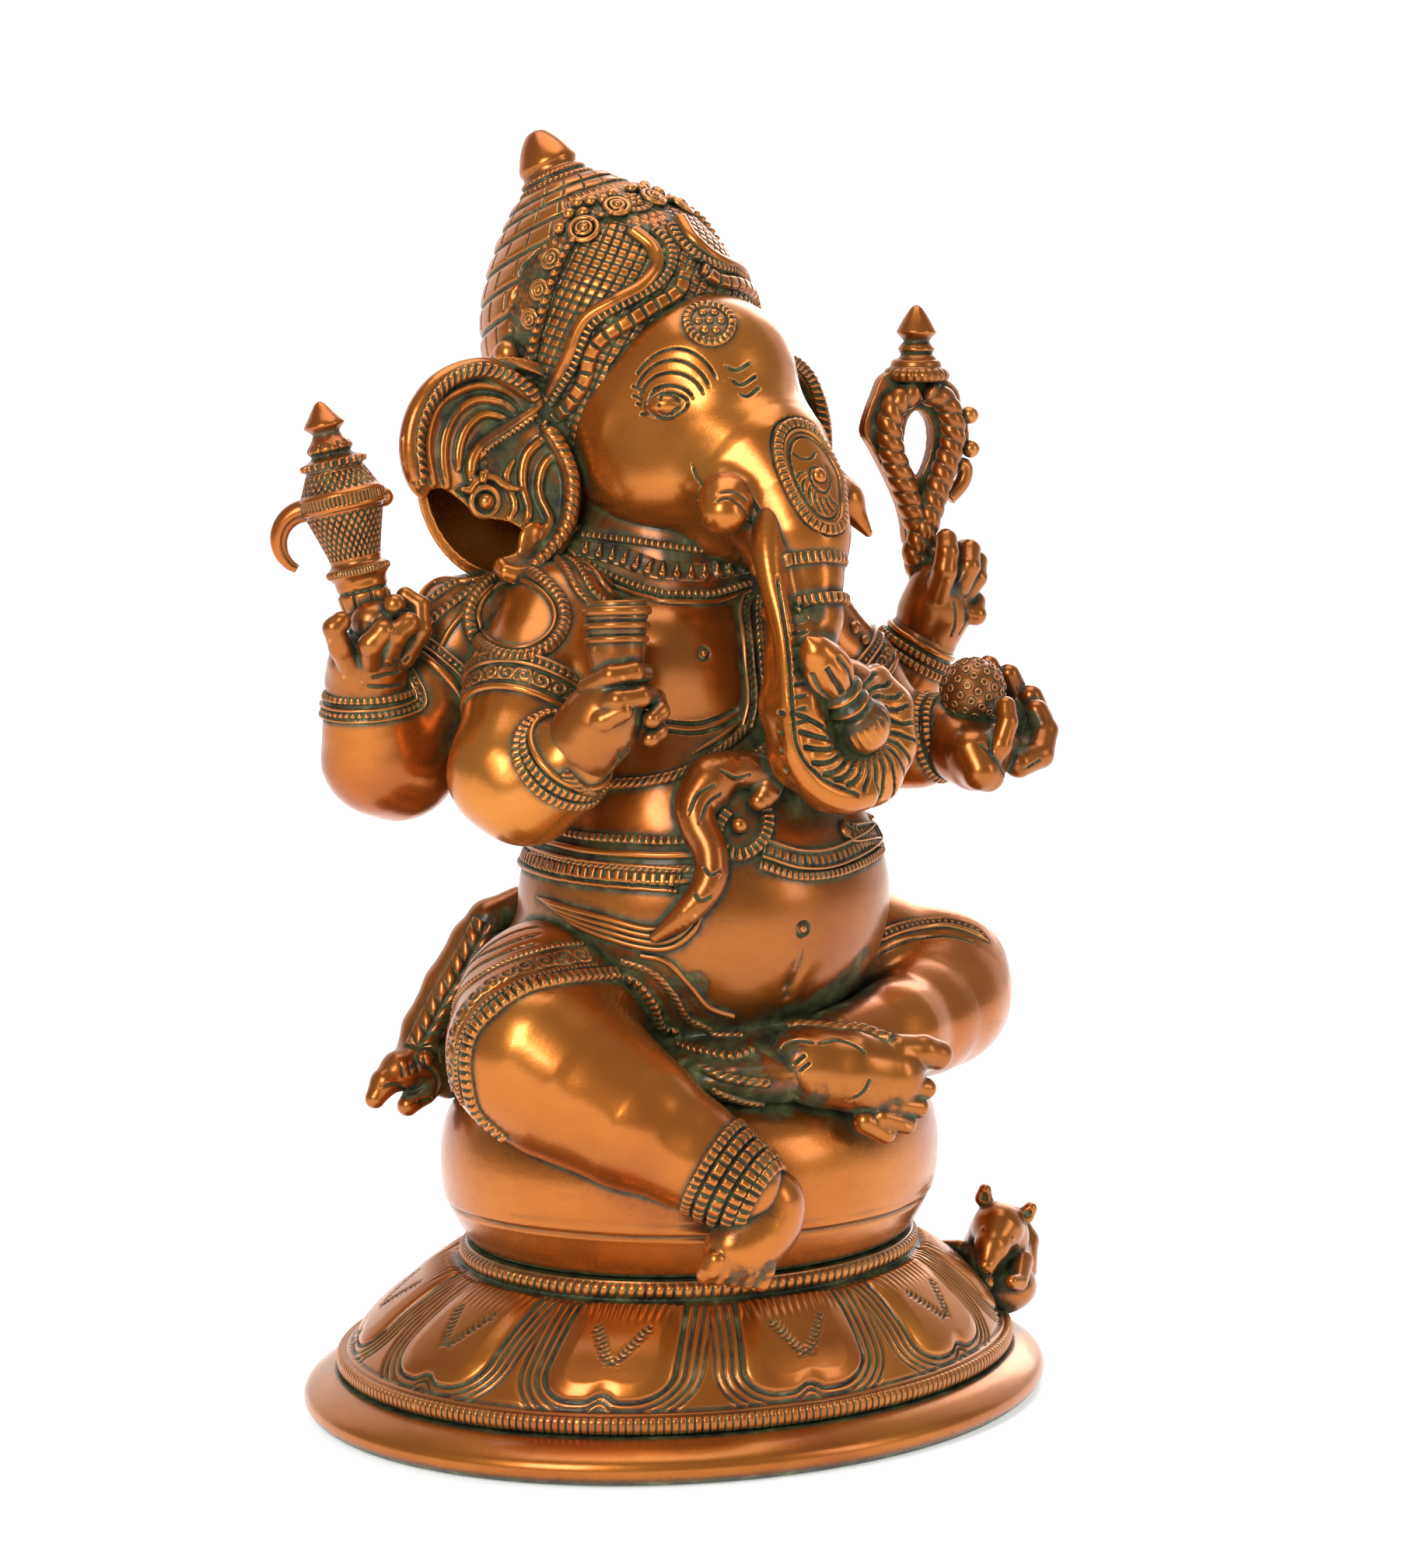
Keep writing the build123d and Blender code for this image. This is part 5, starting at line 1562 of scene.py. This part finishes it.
def arm(name, balls, extra=(), step=0.8):
    part = Sculpt(step)
    part.limb(balls, 3, inner=5)
    for centre, radii in extra:
        part.ball(centre, radii, 6)
    return part.skin(name)


def build_arms():
    skins = []
    skin = arm("rear_right_arm", [(-46, 18, 245, 19), (-64, 24, 240, 19), (-78, 27, 222, 19),
                                  (-88, 27, 206, 18.5), (-95, 26, 207, 16.5), (-99, 24, 219, 13.5),
                                  (-101, 23, 224, 12)])
    skins.append(skin)
    out = [skin]
    out += bracelet(skin, (-99.5, 23.5, 222.5), (-0.1, -0.05, 1), 14,
                    [(0, 4.4, edged(ticks(1.0, 2.0), 1.5)), (4.5, 2.6, ticks(1.2, 1.9))])
    out += bracelet(skin, (-66, 25, 222), (-0.75, 0.2, -0.62), 20,
                    [(-2, 4.0, edged(ticks(1.0, 2.2), 1.4)), (3, 3.0, plain(1.0))])
    piece("rear_right_arm_bent", ["rear_right_arm"], out, COPPER)

    skin = arm("front_right_arm", [(-46, 0, 246, 20), (-60, -8, 229, 20.5), (-78, -18, 205, 17.5),
                                   (-76, -24, 201, 16.5), (-72, -33, 206, 13.5), (-70.5, -38, 210, 12)])
    skins.append(skin)
    out = [skin]
    out += bracelet(skin, (-71.5, -35.5, 208), (0.08, -0.7, 0.7), 13.5,
                    [(-1.5, 3.4, ticks(1.3, 2.1)), (2.2, 3.2, ticks(1.4, 2.1)), (5.4, 2.4, plain(1.2))])
    out += bracelet(skin, (-63, -10.5, 225), (-0.6, -0.3, -0.74), 21,
                    [(0, 4.2, edged(ticks(1.1, 2.3), 1.6)), (5.2, 4.6, scrolls(1.1, 5.5)),
                     (9.6, 2.4, plain(1.1))])
    piece("front_right_arm_bent", ["front_right_arm"], out, COPPER)

    skin = arm("rear_left_arm", [(46, 18, 240, 18), (70, 17, 226, 16), (90, 12, 215, 14.5),
                                 (96, 7, 220, 13.2), (101, 2, 231, 11.8)])
    skins.append(skin)
    out = [skin]
    out += bracelet(skin, (100, 3.5, 228), (0.35, -0.35, 0.87), 12.5,
                    [(-2, 3.2, ticks(1.2, 2.0)), (1.6, 3.2, ticks(1.4, 2.0)), (5, 2.4, plain(1.0))])
    out += bracelet(skin, (66, 17.5, 228), (0.82, -0.1, -0.56), 19,
                    [(-2, 4.0, edged(ticks(1.0, 2.2), 1.4)), (3, 3.0, plain(1.0))])
    piece("rear_left_arm_bent", ["rear_left_arm"], out, COPPER)

    skin = arm("front_left_arm", [(46, -2, 240, 19), (60, -9, 222, 17), (73, -16, 204, 15.2),
                                  (78, -24, 203, 13.4), (83, -34, 207, 11.5)])
    skins.append(skin)
    out = [skin]
    out += bracelet(skin, (81, -31, 206), (0.35, -0.85, 0.2), 12.5,
                    [(-2, 3.2, ticks(1.3, 2.0)), (1.8, 3.2, ticks(1.3, 2.0))])
    out += bracelet(skin, (57, -7.8, 226), (0.6, -0.3, -0.74), 20,
                    [(0, 4.2, edged(ticks(1.1, 2.3), 1.6)), (5.2, 4.6, scrolls(1.1, 5.5)),
                     (9.6, 2.4, plain(1.1))])
    piece("front_left_arm_bent", ["front_left_arm"], out, COPPER)
    return skins


# ================================================================ hands
def finger(part, points, radius, tip=0.8, blend=0.6):
    """A finger through its joints, tapering to the tip."""
    size = np.linspace(radius, radius * tip, len(points))
    part.limb([(*p, r) for p, r in zip(points, size)], blend, inner=0.7)


def build_hands():
    # rear right hand: open upwards round the foot of the goad, little finger spread
    hand = Sculpt(0.5)
    hand.limb([(-100, 23, 224, 11.8), (-102, 22, 231, 11.8), (-103, 21, 236, 10.5)], 3, inner=3)
    hand.ball((-104, 18, 236), (12, 9, 8), 4)
    finger(hand, [(-112, 15, 236), (-117, 13, 242), (-120, 12, 248), (-118, 11, 250)], 3.8)
    finger(hand, [(-108, 11, 238), (-111, 6, 243), (-108, 4, 247), (-105, 7, 248)], 3.9)
    finger(hand, [(-103, 9, 240), (-104, 3, 246), (-100, 2, 249), (-98, 6, 249)], 3.8)
    finger(hand, [(-95, 12, 238), (-91, 9, 246), (-90, 11, 253), (-93, 14, 256)], 3.6)
    finger(hand, [(-93, 18, 234), (-89, 17, 243), (-90, 18, 250)], 3.6)
    hand.ball((-104, 14, 249), (7.5, 6.5, 6.5), 1.5)
    hand.ball((-101.5, 7.5, 254), (3.4, 3.4, 3.6), 0.8)
    skin = hand.skin("rear_right_hand")
    skin.chase([[(-110, 8, 232), (-104, 5, 233), (-98, 8, 234)],
                [(-112, 8, 229), (-104, 6, 229), (-96, 9, 230)],
                [(-104, 4, 238), (-100, 5, 235), (-96, 8, 238)]], 0.6, 0.9)
    PATINA.extend([(-105, 7, 246, 6), (-97, 10, 243, 5), (-110, 12, 240, 5)])
    piece("rear_right_hand_curled", ["rear_right_hand"], [skin], DARK_COPPER)

    # front right hand: a fist round the broken tusk
    hand = Sculpt(0.5)
    hand.limb([(-70, -38, 210, 10.5), (-68, -43, 216, 11), (-66, -47, 222, 11), (-64, -50, 227, 9.5)], 3,
              inner=3)
    hand.ball((-62, -47, 222), (9, 8, 11), 3)
    finger(hand, [(-70, -47, 232), (-68, -55, 236), (-62, -58, 237), (-56, -55, 236)], 3.6)
    finger(hand, [(-71, -49, 226), (-68, -58, 229), (-61, -60, 230), (-55, -56, 230)], 3.6)
    finger(hand, [(-54, -47, 228), (-51, -54, 228), (-53, -59, 225), (-57, -60, 223)], 3.3)
    finger(hand, [(-54, -46, 222), (-50, -52, 221), (-52, -57, 219), (-56, -58, 217)], 3.2)
    finger(hand, [(-71, -47, 219), (-71, -55, 223), (-67, -59, 226)], 4.0)
    skin = hand.skin("front_right_hand")
    skin.chase([[(-62, -58, 214), (-58, -56, 210), (-60, -52, 205)],
                [(-66, -56, 214), (-63, -56, 208), (-64, -52, 204)],
                [(-58, -58, 219), (-55, -55, 213), (-57, -50, 208)]], 0.7, 0.9)
    PATINA.extend([(-62, -56, 233, 6), (-58, -57, 226, 6), (-62, -56, 210, 6), (-52, -52, 225, 5)])
    piece("front_right_hand_fist", ["front_right_hand"], [skin], DARK_COPPER)

    # rear left hand: raised, holding the foot of the noose
    hand = Sculpt(0.5)
    hand.limb([(102.5, 0.5, 234, 10.8), (104, -2, 242, 11.2), (104, -4, 249, 9.5)], 3, inner=3)
    hand.ball((103, -4, 246), (9.5, 8.5, 11), 3)
    finger(hand, [(99, -9, 248), (98.5, -13, 256), (99.5, -13, 262), (101, -11, 266)], 4.4)
    finger(hand, [(106, -11, 250), (109, -13, 257), (112, -10, 262), (113, -6, 262)], 4.0)
    finger(hand, [(110, -9, 247), (114, -11, 253), (117, -8, 258), (118, -4, 260)], 3.8)
    finger(hand, [(110, -3, 252), (113, -1, 259), (112, 1, 265)], 3.4)
    finger(hand, [(108, -10, 242), (113, -12, 241), (115.5, -9, 245), (113, -5, 248)], 3.7)
    skin = hand.skin("rear_left_hand")
    skin.chase([[(106, -13, 247), (108, -12, 241), (106, -10, 236)],
                [(102, -13, 247), (103, -12, 241), (103, -9, 236)]], 0.6, 0.9)
    PATINA.extend([(104, -12, 251, 6), (111, -9, 246, 5), (108, -12, 257, 4)])
    piece("rear_left_hand_raised", ["rear_left_hand"], [skin], DARK_COPPER)

    # front left hand: palm up under the sweet, fingers forward
    hand = Sculpt(0.5)
    hand.limb([(82, -33, 207, 10.4), (81.5, -41, 203, 11), (81, -48, 200, 10.5)], 3, inner=3)
    hand.ball((87, -45, 203), (13, 11, 8.5), 3)
    hand.limb([(76, -52, 203, 7), (76, -56, 197, 6), (79, -56, 195.5, 5.4)], 3, inner=1)
    finger(hand, [(78, -56, 199), (81.5, -59, 205), (84.4, -59, 212), (85.5, -57, 217)], 3.8)
    finger(hand, [(94, -54, 198), (103, -54, 200), (108, -51, 207), (107, -48, 213)], 4.8)
    finger(hand, [(98, -48, 199), (107, -47, 203), (112, -44, 210), (110, -42, 217)], 4.8)
    finger(hand, [(98, -42, 201), (106, -39, 208), (109, -37, 217), (105, -37, 224)], 4.4)
    finger(hand, [(94, -36, 204), (101, -34, 212), (103, -33, 221), (99, -34, 227)], 4.2)
    skin = hand.skin("front_left_hand")
    skin.chase([[(74, -56, 206), (78, -60, 200), (82, -61, 196)], [(80, -58, 208), (77, -58, 202)],
                [(92, -60, 196), (99, -60, 199)]], 0.7, 0.9)
    PATINA.extend([(92, -52, 205, 8), (103, -48, 209, 7), (100, -40, 214, 7)])
    piece("front_left_hand_open", ["front_left_hand"], [skin], DARK_COPPER)


# ================================================================ things held
def build_goad():
    foot, tip = np.array([-101.0, 20, 246]), np.array([-112.0, 31, 314])
    profile = [(6.2, 0), (7.4, 2), (7.6, 5), (6.9, 6), (7.6, 7.2), (8.0, 11), (7.1, 12), (7.7, 13.2),
               (8, 15.5), (9.7, 17.6), (9.6, 19), (8, 20.4), (7.8, 22), (8.8, 26), (11.9, 36), (12.9, 37),
               (13.2, 38.4), (13.2, 41.2),
               (12.6, 42.4), (11.6, 43.4), (9.2, 48.4), (8.7, 49.4), (9.4, 50.4), (9.2, 51.8), (6.6, 53),
               (6, 54), (7, 55.4), (6.2, 57), (5.4, 58), (4.6, 59.2), (4.2, 60.4), (6.1, 62.2),
               (5.9, 63.4), (3.6, 66.4), (1.6, 69), (0.2, 69.8)]

    def relief(height, angle):
        a = angle / (2 * PI)
        low_net = (height > 22.5) & (height < 35.8)
        high_net = (height > 43.2) & (height < 48.4)
        x = 30 * a
        net = -0.75 * (np.exp(-(wave(x + height / 3.3, 1) / 0.24) ** 2)
                       + np.exp(-(wave(x - height / 3.3, 1) / 0.24) ** 2))
        rim = -0.8 * np.exp(-(wave(a * 62, 1) / 0.34) ** 2) * ((np.abs(height - 39.8) < 1.5)
                | (np.abs(height - 18.3) < 0.9))
        beads_row = 0.7 * np.cos(a * 2 * PI * 24) * (np.abs(height - 50.8) < 0.9)
        blocks = -0.9 * np.exp(-(wave(a * 9 + np.floor(height / 6.1) * 0.5, 1)
                                 / 0.16) ** 2) * (height < 12.5)
        petals = -0.5 * np.exp(-(wave(a * 14, 1) / 0.3) ** 2) * (height > 53) * (height < 57)
        return net * (low_net | high_net) + rim + beads_row + blocks + petals
    out = [turned_shell(profile, foot, tip, 220, relief, 0.35)]
    centre = np.array([-113.5, 29.0, 272.5])
    side_dir = np.array([-0.788, 0.616, 0])
    hook = []
    for a in np.linspace(math.radians(20), math.radians(245), 15):
        reach = 9.2
        hook.append(centre + reach * (math.cos(a) * -side_dir + math.sin(a) * UP) + side_dir * 3)

    def hook_size(v):
        return 3.7 * (1 - 0.62 * v ** 2.4)

    def hook_relief(s, angle):
        return -0.55 * (np.exp(-(np.sin(angle - 0.5) / 0.2) ** 2)
                        + np.exp(-(np.sin(angle + 0.6) / 0.16) ** 2))
    out.append(tube(hook, hook_size, 0.5, 36, relief=hook_relief))
    out.append(tube([centre + (4, 0, 3), centre + (9, -1, -2), centre + (12, -2, -8)], 4.2, 0.8, 18))
    joint = foot + (np.array(tip) - foot) / 69.8 * 39.8 + np.array([13.0, -3, 0.5])
    out.append(pearl(joint, 3.0, (1, 0, 0), 1.0, 9))
    piece("elephant_goad", ["goad"], out, COPPER)


def build_noose():
    c = np.array([103.0, 6.0, 296.0])
    right, up, front = np.array([0.966, -0.259, 0]), UP, np.array([-0.259, -0.966, 0])

    def at(x, z, y=0.0):
        return c + right * x + up * z + front * y
    loop = Sculpt(0.5)
    outer = [(4, -33), (7, -26), (9.5, -20), (11.6, -13.5), (14, -7.5), (18.2, -1), (18.5, 5), (16.2, 11),
             (14, 18), (6, 22.5), (-6, 24), (-12.5, 22),
             (-15.5, 16), (-18, 10), (-19.2, 4), (-16, -1.5), (-12.6, -7.4), (-9.3, -13.5), (-6.3, -20),
             (-4.6, -26), (-3, -33)]
    plate = spline([(x, z, 0) for x, z in outer], 1.5, True)[:-1, :2]
    eye = spline([(x, z, 0) for x, z in [(0.5, -10.8), (-3.4, -5), (-4.8, 1), (-3.4, 8), (0, 11), (3.8, 8),
                                         (5.2, 2), (4, -5)]], 1.5, True)[:-1, :2]

    def slab(x, y, z):
        px, py, pz = x - c[0], y - c[1], z - c[2]
        lx = px * right[0] + py * right[1]
        lf = px * front[0] + py * front[1]
        lx, lz = (np.broadcast_to(lx, np.broadcast(lx, pz).shape),
                  np.broadcast_to(pz, np.broadcast(lx, pz).shape))
        d = np.maximum(outline_distance(lx, lz, plate), -outline_distance(lx, lz, eye))
        return np.maximum(d, np.abs(lf + 1.8) - 2.2)
    loop._add(c - (22, 12, 38), c + (22, 12, 28), slab, 0.5, False)
    loop.ball(at(0, 26.5), (6.5, 6.5, 4), 2)
    skin = loop.skin("noose")
    out = [skin]

    def twist(s, angle):
        return 0.9 * np.sqrt(np.clip(1 - wave(s + 1.5 * angle, 4.8) ** 2, 0, 1)) - 0.6
    left_side = [at(1, -43, 1.5), at(3.5, -35, 1.5), at(-1, -26, 2.5), at(-4.2, -18, 2.6),
                 at(-7.4, -10, 2.5), at(-10.2, -2, 2), at(-11.2, 6, 2), at(-8.8, 13, 2), at(-2, 17.2, 2)]
    right_side = [at(0.5, -43, 3.4), at(-2, -35, 3.4), at(1.5, -26, 4), at(4.6, -18, 3.2),
                  at(8.2, -9, 2.5), at(11.4, 0, 2), at(11.4, 7, 2), at(8.8, 13.5, 2), at(2, 17.2, 2)]
    out.append(tube(left_side, 4.2, 0.4, 28, relief=twist))
    out.append(tube(right_side, 4.2, 0.4, 28, relief=twist))
    cap = [(0.2, 0), (9, 0.2), (10.8, 2), (10, 4), (8.6, 5), (7.8, 7), (5.4, 8), (5.2, 9.4), (6, 10.6),
           (5.2, 12), (4.2, 13.4), (6.4, 15.8), (6.2, 17), (4.2, 20.6), (1.8, 24), (0.2, 25)]

    def grooves(height, angle):
        return -0.6 * np.exp(-(wave(angle * 26 / (2 * PI), 1) / 0.3) ** 2) * (height < 4.6) * (height > 0.3)
    out.append(turned_shell(cap, at(0, 20, -1), at(0, 45, -1), 130, grooves, 0.4))
    for x, z in ((19.5, -2), (19, 9)):
        out.append(pearl(at(x, z), 3.0, right, 1, 8))
    out.append(tube([at(12, -18, -1), at(17, -13, -1), at(18, -8, -1), at(15.5, -7, -1)], 2.6, 0.7, 12))
    piece("noose_loop", ["noose"], out, DARK_COPPER)


def build_held():
    tusk = Sculpt(0.5)
    tusk.limb([(-62, -50, 228, 7.2), (-60.5, -47.5, 243, 8), (-60, -47, 252, 8.6),
               (-59.5, -46.5, 256, 8.8)], 1, inner=3)
    tusk.plane_cut((-60, -47, 257), (0.05, 0.1, 1), (-75, -62, 250), (-45, -30, 272))
    tusk.ball((-60, -47, 258), (6.3, 6.3, 7), 0.8, cut=True)
    skin = tusk.skin("tusk_piece")
    out = [skin]
    out += bracelet(skin, (-60, -47, 254), (0.05, 0.1, 1), 10,
                    [(0, 3.0, plain(1.2)), (-4.5, 2.2, plain(0.9)), (-8.5, 2.4, plain(1.0))])
    skin.chase([line_loop((-60, -47, 251), (0.05, 0.1, 1), 9, 16),
                line_loop((-60.4, -47.3, 246.5), (0.05, 0.1, 1), 9, 16)], 0.5, 0.9)
    piece("broken_tusk_piece", ["tusk_fragment"], out, DARK_COPPER)

    sweet = Sculpt(0.5)
    sweet.ball((85, -42, 220.5), (10.2, 10.2, 10.4), 1)
    skin = sweet.skin("modak")
    golden = PI * (3 - math.sqrt(5))
    spots = []
    for k in range(90):
        height = 1 - 2 * (k + 0.5) / 90
        flat = math.sqrt(1 - height ** 2)
        spots.append((85 + 10.3 * flat * math.cos(golden * k), -42 + 10.3 * flat * math.sin(golden * k),
                      220.5 + 10.4 * height))
    out = [skin]
    for spot in spots:
        axis = unit(np.array(spot) - (85, -42, 220.5))
        out.append(tube(line_loop(spot, axis, 0.95, 8), 0.42, 0.55, 6, True))
    piece("sweet_ball", ["modak"], out, DARK_COPPER)


# ================================================================ sash tail and mouse
def build_sash_tail():
    tail = Sculpt(0.7)
    tail.limb([(-36, 36, 155, 5), (-45, 39, 149.5, 6.8), (-50, 40.5, 143, 7.4), (-59, 42, 129.8, 7.5),
               (-66.7, 43, 116.7, 7.5), (-71, 41, 108, 7.8)], 3, inner=2)
    tail.limb([(-71, 40, 107, 8), (-80, 38.5, 106, 6.2), (-86, 38, 103, 4.4), (-89.5, 38, 98.5, 3.2)], 2,
              inner=1)
    tail.limb([(-66, 40, 104, 7), (-72, 38, 99, 4.8), (-78, 37, 95, 3.4)], 1.5, inner=1)
    tail.limb([(-60, 40, 108, 6.5), (-62, 38, 100, 5)], 2)
    tail.ball((-74, 33, 110), (3.0, 3.0, 3.0), 0.8)
    skin = tail.skin("sash_tail")
    mane = [[(-87 + 2.3 * k, -90 + 1.0 * k), (-86 + 2.3 * k, -93.5 + 0.8 * k)] for k in range(6)]
    jaws = [[(-93, -97), (-88, -96.5), (-84, -99), (-80, -97)],
            [(-85, -92), (-81, -90), (-77, -92), (-75, -96), (-76, -100)], [(-82, -102), (-77, -101)]]
    skin.chase([seen(skin, line) for line in mane + jaws], 0.9, 1.0)
    out = [skin]
    spine = seen(skin, [(-60, -46), (-63.3, -53.2), (-68.2, -61.9), (-73.5, -70.6), (-78, -79.4),
                        (-81, -85)])
    out.append(band(skin, spine, 11.5, braid(1.9, 5.0)))
    PATINA.extend((*p, 5) for p in spine)
    PATINA.extend([(-76, 34, 100, 6), (-84, 33, 99, 5)])
    piece("sash_tail_beast", ["sash_tail"], out, DARK_COPPER)


def build_mouse():
    turn, lean = math.radians(-38), math.radians(22)
    pivot = np.array([104.0, -36, 0])

    def spin(x, y, z):
        dx, dy = x - pivot[0], y - pivot[1]
        return (pivot[0] + dx * math.cos(turn) - dy * math.sin(turn),
                pivot[1] + dx * math.sin(turn) + dy * math.cos(turn), z)

    def head(x, y, z):
        """A place on the head, which leans to one side."""
        dx, dz = x - 103.5, z - 45
        return spin(103.5 + dx * math.cos(lean) + dz * math.sin(lean), y,
                    45 + dz * math.cos(lean) - dx * math.sin(lean))

    def balls(rows, place=spin):
        return [(*place(x, y, z), r) for x, y, z, r in rows]
    mouse = Sculpt(0.5)
    mouse.limb(balls([(104, -14, 30, 8), (104, -24, 33, 10.5), (104, -34, 40, 9.5),
                      (103.5, -39, 44, 8.6)]), 3, inner=2)
    mouse.limb(balls([(103.5, -42, 44, 7.4), (103, -47.5, 39, 5.6), (103, -52, 33.5, 3.4)], head), 2,
               inner=1)
    mouse.ball((103, -32, 24), (15, 17, 10), 5)
    mouse.limb(balls([(112, -20, 26, 6), (114, -16, 34, 4.6), (111, -15, 42, 3.4)]), 3, inner=1)
    for side in (-1, 1):
        ear = np.array([103.5 + side * 7.4, -37, 51])
        mouse.limb([(*head(*ear), 3.0), (*head(*(ear + (side * 0.6, 0, 2.4))), 2.2)], 1.2)
        mouse.ball(head(*(ear + (side * 0.3, -3.0, 1.0))), 1.6, 0.4, cut=True)
        mouse.ball(head(103.3 + side * 4.4, -47.4, 43.6), 1.3, 0.3)
        mouse.limb(balls([(104 + side * 7, -40, 33, 4), (103.5 + side * 6, -49, 28.5, 3.0),
                          (103 + side * 4, -53, 29.5, 2.3)]), 1.2)
    mouse.limb([(88, -25, 38, 1.4), (93, -29, 36.5, 3.0), (98, -33, 34, 3.2), (101, -36, 28, 3.0)], 2)
    skin = mouse.skin("mouse")
    nose = [[head(100.5, -50, 33.5), head(103, -54, 31), head(105.5, -50, 33.5)]]
    ribs = [[spin(96, -30 + 4 * k, 44), spin(104, -30 + 4 * k, 48), spin(112, -30 + 4 * k, 44)]
            for k in range(4)]
    skin.chase(nose + ribs, 0.6, 0.9)
    PATINA.extend([(93, -39, 26, 10), (93, -50, 19, 7), (86, -31, 37, 7), (101, -36, 27, 9),
                   (97, -32, 34, 5)])
    piece("mouse_and_mound", ["mouse"], [skin], DARK_COPPER)


# ================================================================ stage
def softbox(name, place, aim, width, height, watts):
    lamp = bpy.data.lights.new(name, "AREA")
    lamp.shape = "RECTANGLE"
    lamp.size, lamp.size_y = width, height
    lamp.energy = watts
    obj = bpy.data.objects.new(name, lamp)
    obj.location = place
    obj.rotation_euler = (Vector(aim) - Vector(place)).to_track_quat("-Z", "Y").to_euler()
    bpy.context.scene.collection.objects.link(obj)


def build_stage():
    away = Vector((0.616, 0.788, 0))
    across = Vector((0.788, -0.616, 0))
    rows = [(-3.0, 0.0), (1.6, 0.0)] + [(1.6 + 1.2 * math.sin(a), 1.2 - 1.2 * math.cos(a))
                                        for a in np.linspace(0.15, PI / 2, 12)] + [(2.8, 4.0)]
    verts, faces = [], []
    for d, z in rows:
        for side in (-5, 5):
            v = away * d + across * side
            verts.append((v.x, v.y, z - 0.0002))
    for i in range(len(rows) - 1):
        faces.append((2 * i, 2 * i + 1, 2 * i + 3, 2 * i + 2))
    mesh = bpy.data.meshes.new("sweep")
    mesh.from_pydata(verts, [], faces)
    mesh.polygons.foreach_set("use_smooth", np.ones(len(faces), bool))
    paper = bpy.data.materials.new("white_paper")
    paper.use_nodes = True
    shader = paper.node_tree.nodes["Principled BSDF"]
    shader.inputs["Base Color"].default_value = (0.93, 0.93, 0.93, 1)
    shader.inputs["Roughness"].default_value = 0.9
    shader.inputs["Emission Color"].default_value = (1, 1, 1, 1)
    shader.inputs["Emission Strength"].default_value = 0.48
    mesh.materials.append(paper)
    obj = bpy.data.objects.new("sweep", mesh)
    bpy.context.scene.collection.objects.link(obj)
    world = bpy.data.worlds.new("studio")
    bpy.context.scene.world = world
    world.use_nodes = True
    back = world.node_tree.nodes["Background"]
    back.inputs["Color"].default_value = (1, 1, 1, 1)
    back.inputs["Strength"].default_value = 0.30
    softbox("key_left", (-1.4, -0.85, 1.0), (0, 0, 0.2), 0.6, 0.9, 20)
    softbox("key_right", (0.75, -1.5, 0.7), (0, 0, 0.2), 0.4, 0.9, 4.5)
    softbox("top", (0.1, 0.1, 1.7), (0, 0, 0.2), 1.2, 1.2, 12)
    softbox("back_right", (1.4, 0.9, 0.9), (0, 0, 0.2), 0.8, 1.2, 9)


def set_tones():
    """Plain display tones, so the paper stays white and the copper keeps its colour."""
    bpy.context.scene.view_settings.view_transform = "Standard"


def build_camera():
    lens = bpy.data.cameras.new("three_quarter")
    lens.sensor_fit = "VERTICAL"
    lens.sensor_height = 36
    lens.lens = 96.4
    lens.shift_x = 0.0221
    lens.shift_y = -0.0055
    obj = bpy.data.objects.new("three_quarter", lens)
    obj.location = (-0.8004, -1.0244, 0.362)
    aim = Vector((0, 0, 0.196))
    obj.rotation_euler = (aim - Vector(obj.location)).to_track_quat("-Z", "Y").to_euler()
    bpy.context.scene.collection.objects.link(obj)
    bpy.context.scene.camera = obj


def build_body(arm_skins):
    skin = build_torso()
    cover = merged(skin, *arm_skins)
    out = [skin] + dress_torso(skin, cover)
    # the darker copper here is painted shade for the less lit belly and chest, partly dirt
    piece("body", ["torso"], out, DARK_COPPER)


def build_face():
    head = build_head()
    out = [head] + dress_head(head)
    piece("elephant_head", ["head"], out, COPPER)


def stain_pieces():
    """Marks, on every point of the castings, how near it is to ornament: patina gathers there."""
    spots = kdtree.KDTree(len(STAINS))
    for index, (x, y, z, _) in enumerate(STAINS):
        spots.insert((x * MM, y * MM, z * MM), index)
    spots.balance()
    half = np.array([row[3] for row in STAINS])
    for obj in PIECES:
        mesh = obj.data
        places = np.empty(len(mesh.vertices) * 3)
        mesh.vertices.foreach_get("co", places)
        places = places.reshape(-1, 3)
        found = [spots.find(p) for p in places.tolist()]
        gap = np.array([hit[2] / MM - half[hit[1]] for hit in found])
        value = STAIN_STRENGTH * np.clip(1 - gap / STAIN_REACH, 0, 1)
        for x, y, z, reach in PATINA:
            away = np.linalg.norm(places / MM - (x, y, z), axis=1)
            value = np.maximum(value, PATCH_STRENGTH * np.clip((reach - away) / PATCH_EDGE, 0, 1))
        stain = mesh.attributes.new("stain", "FLOAT", "POINT")
        stain.data.foreach_set("value", value.astype(np.float32))


def show_fixings():
    for name in ("tie_rods", "tie_rod_washers", "tie_rod_nuts"):
        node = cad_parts[name]
        node.data.materials.clear()
        node.data.materials.append(STEEL)


build_base()
build_cushion()
build_body(build_arms())
build_face()
build_trunk()
build_pot()
build_tusks()
build_crown()
build_ear(-1)
build_ear(1)
build_legs()
build_feet()
build_hands()
build_goad()
build_noose()
build_held()
build_sash_tail()
build_mouse()
stain_pieces()
show_fixings()
build_stage()
set_tones()
build_camera()
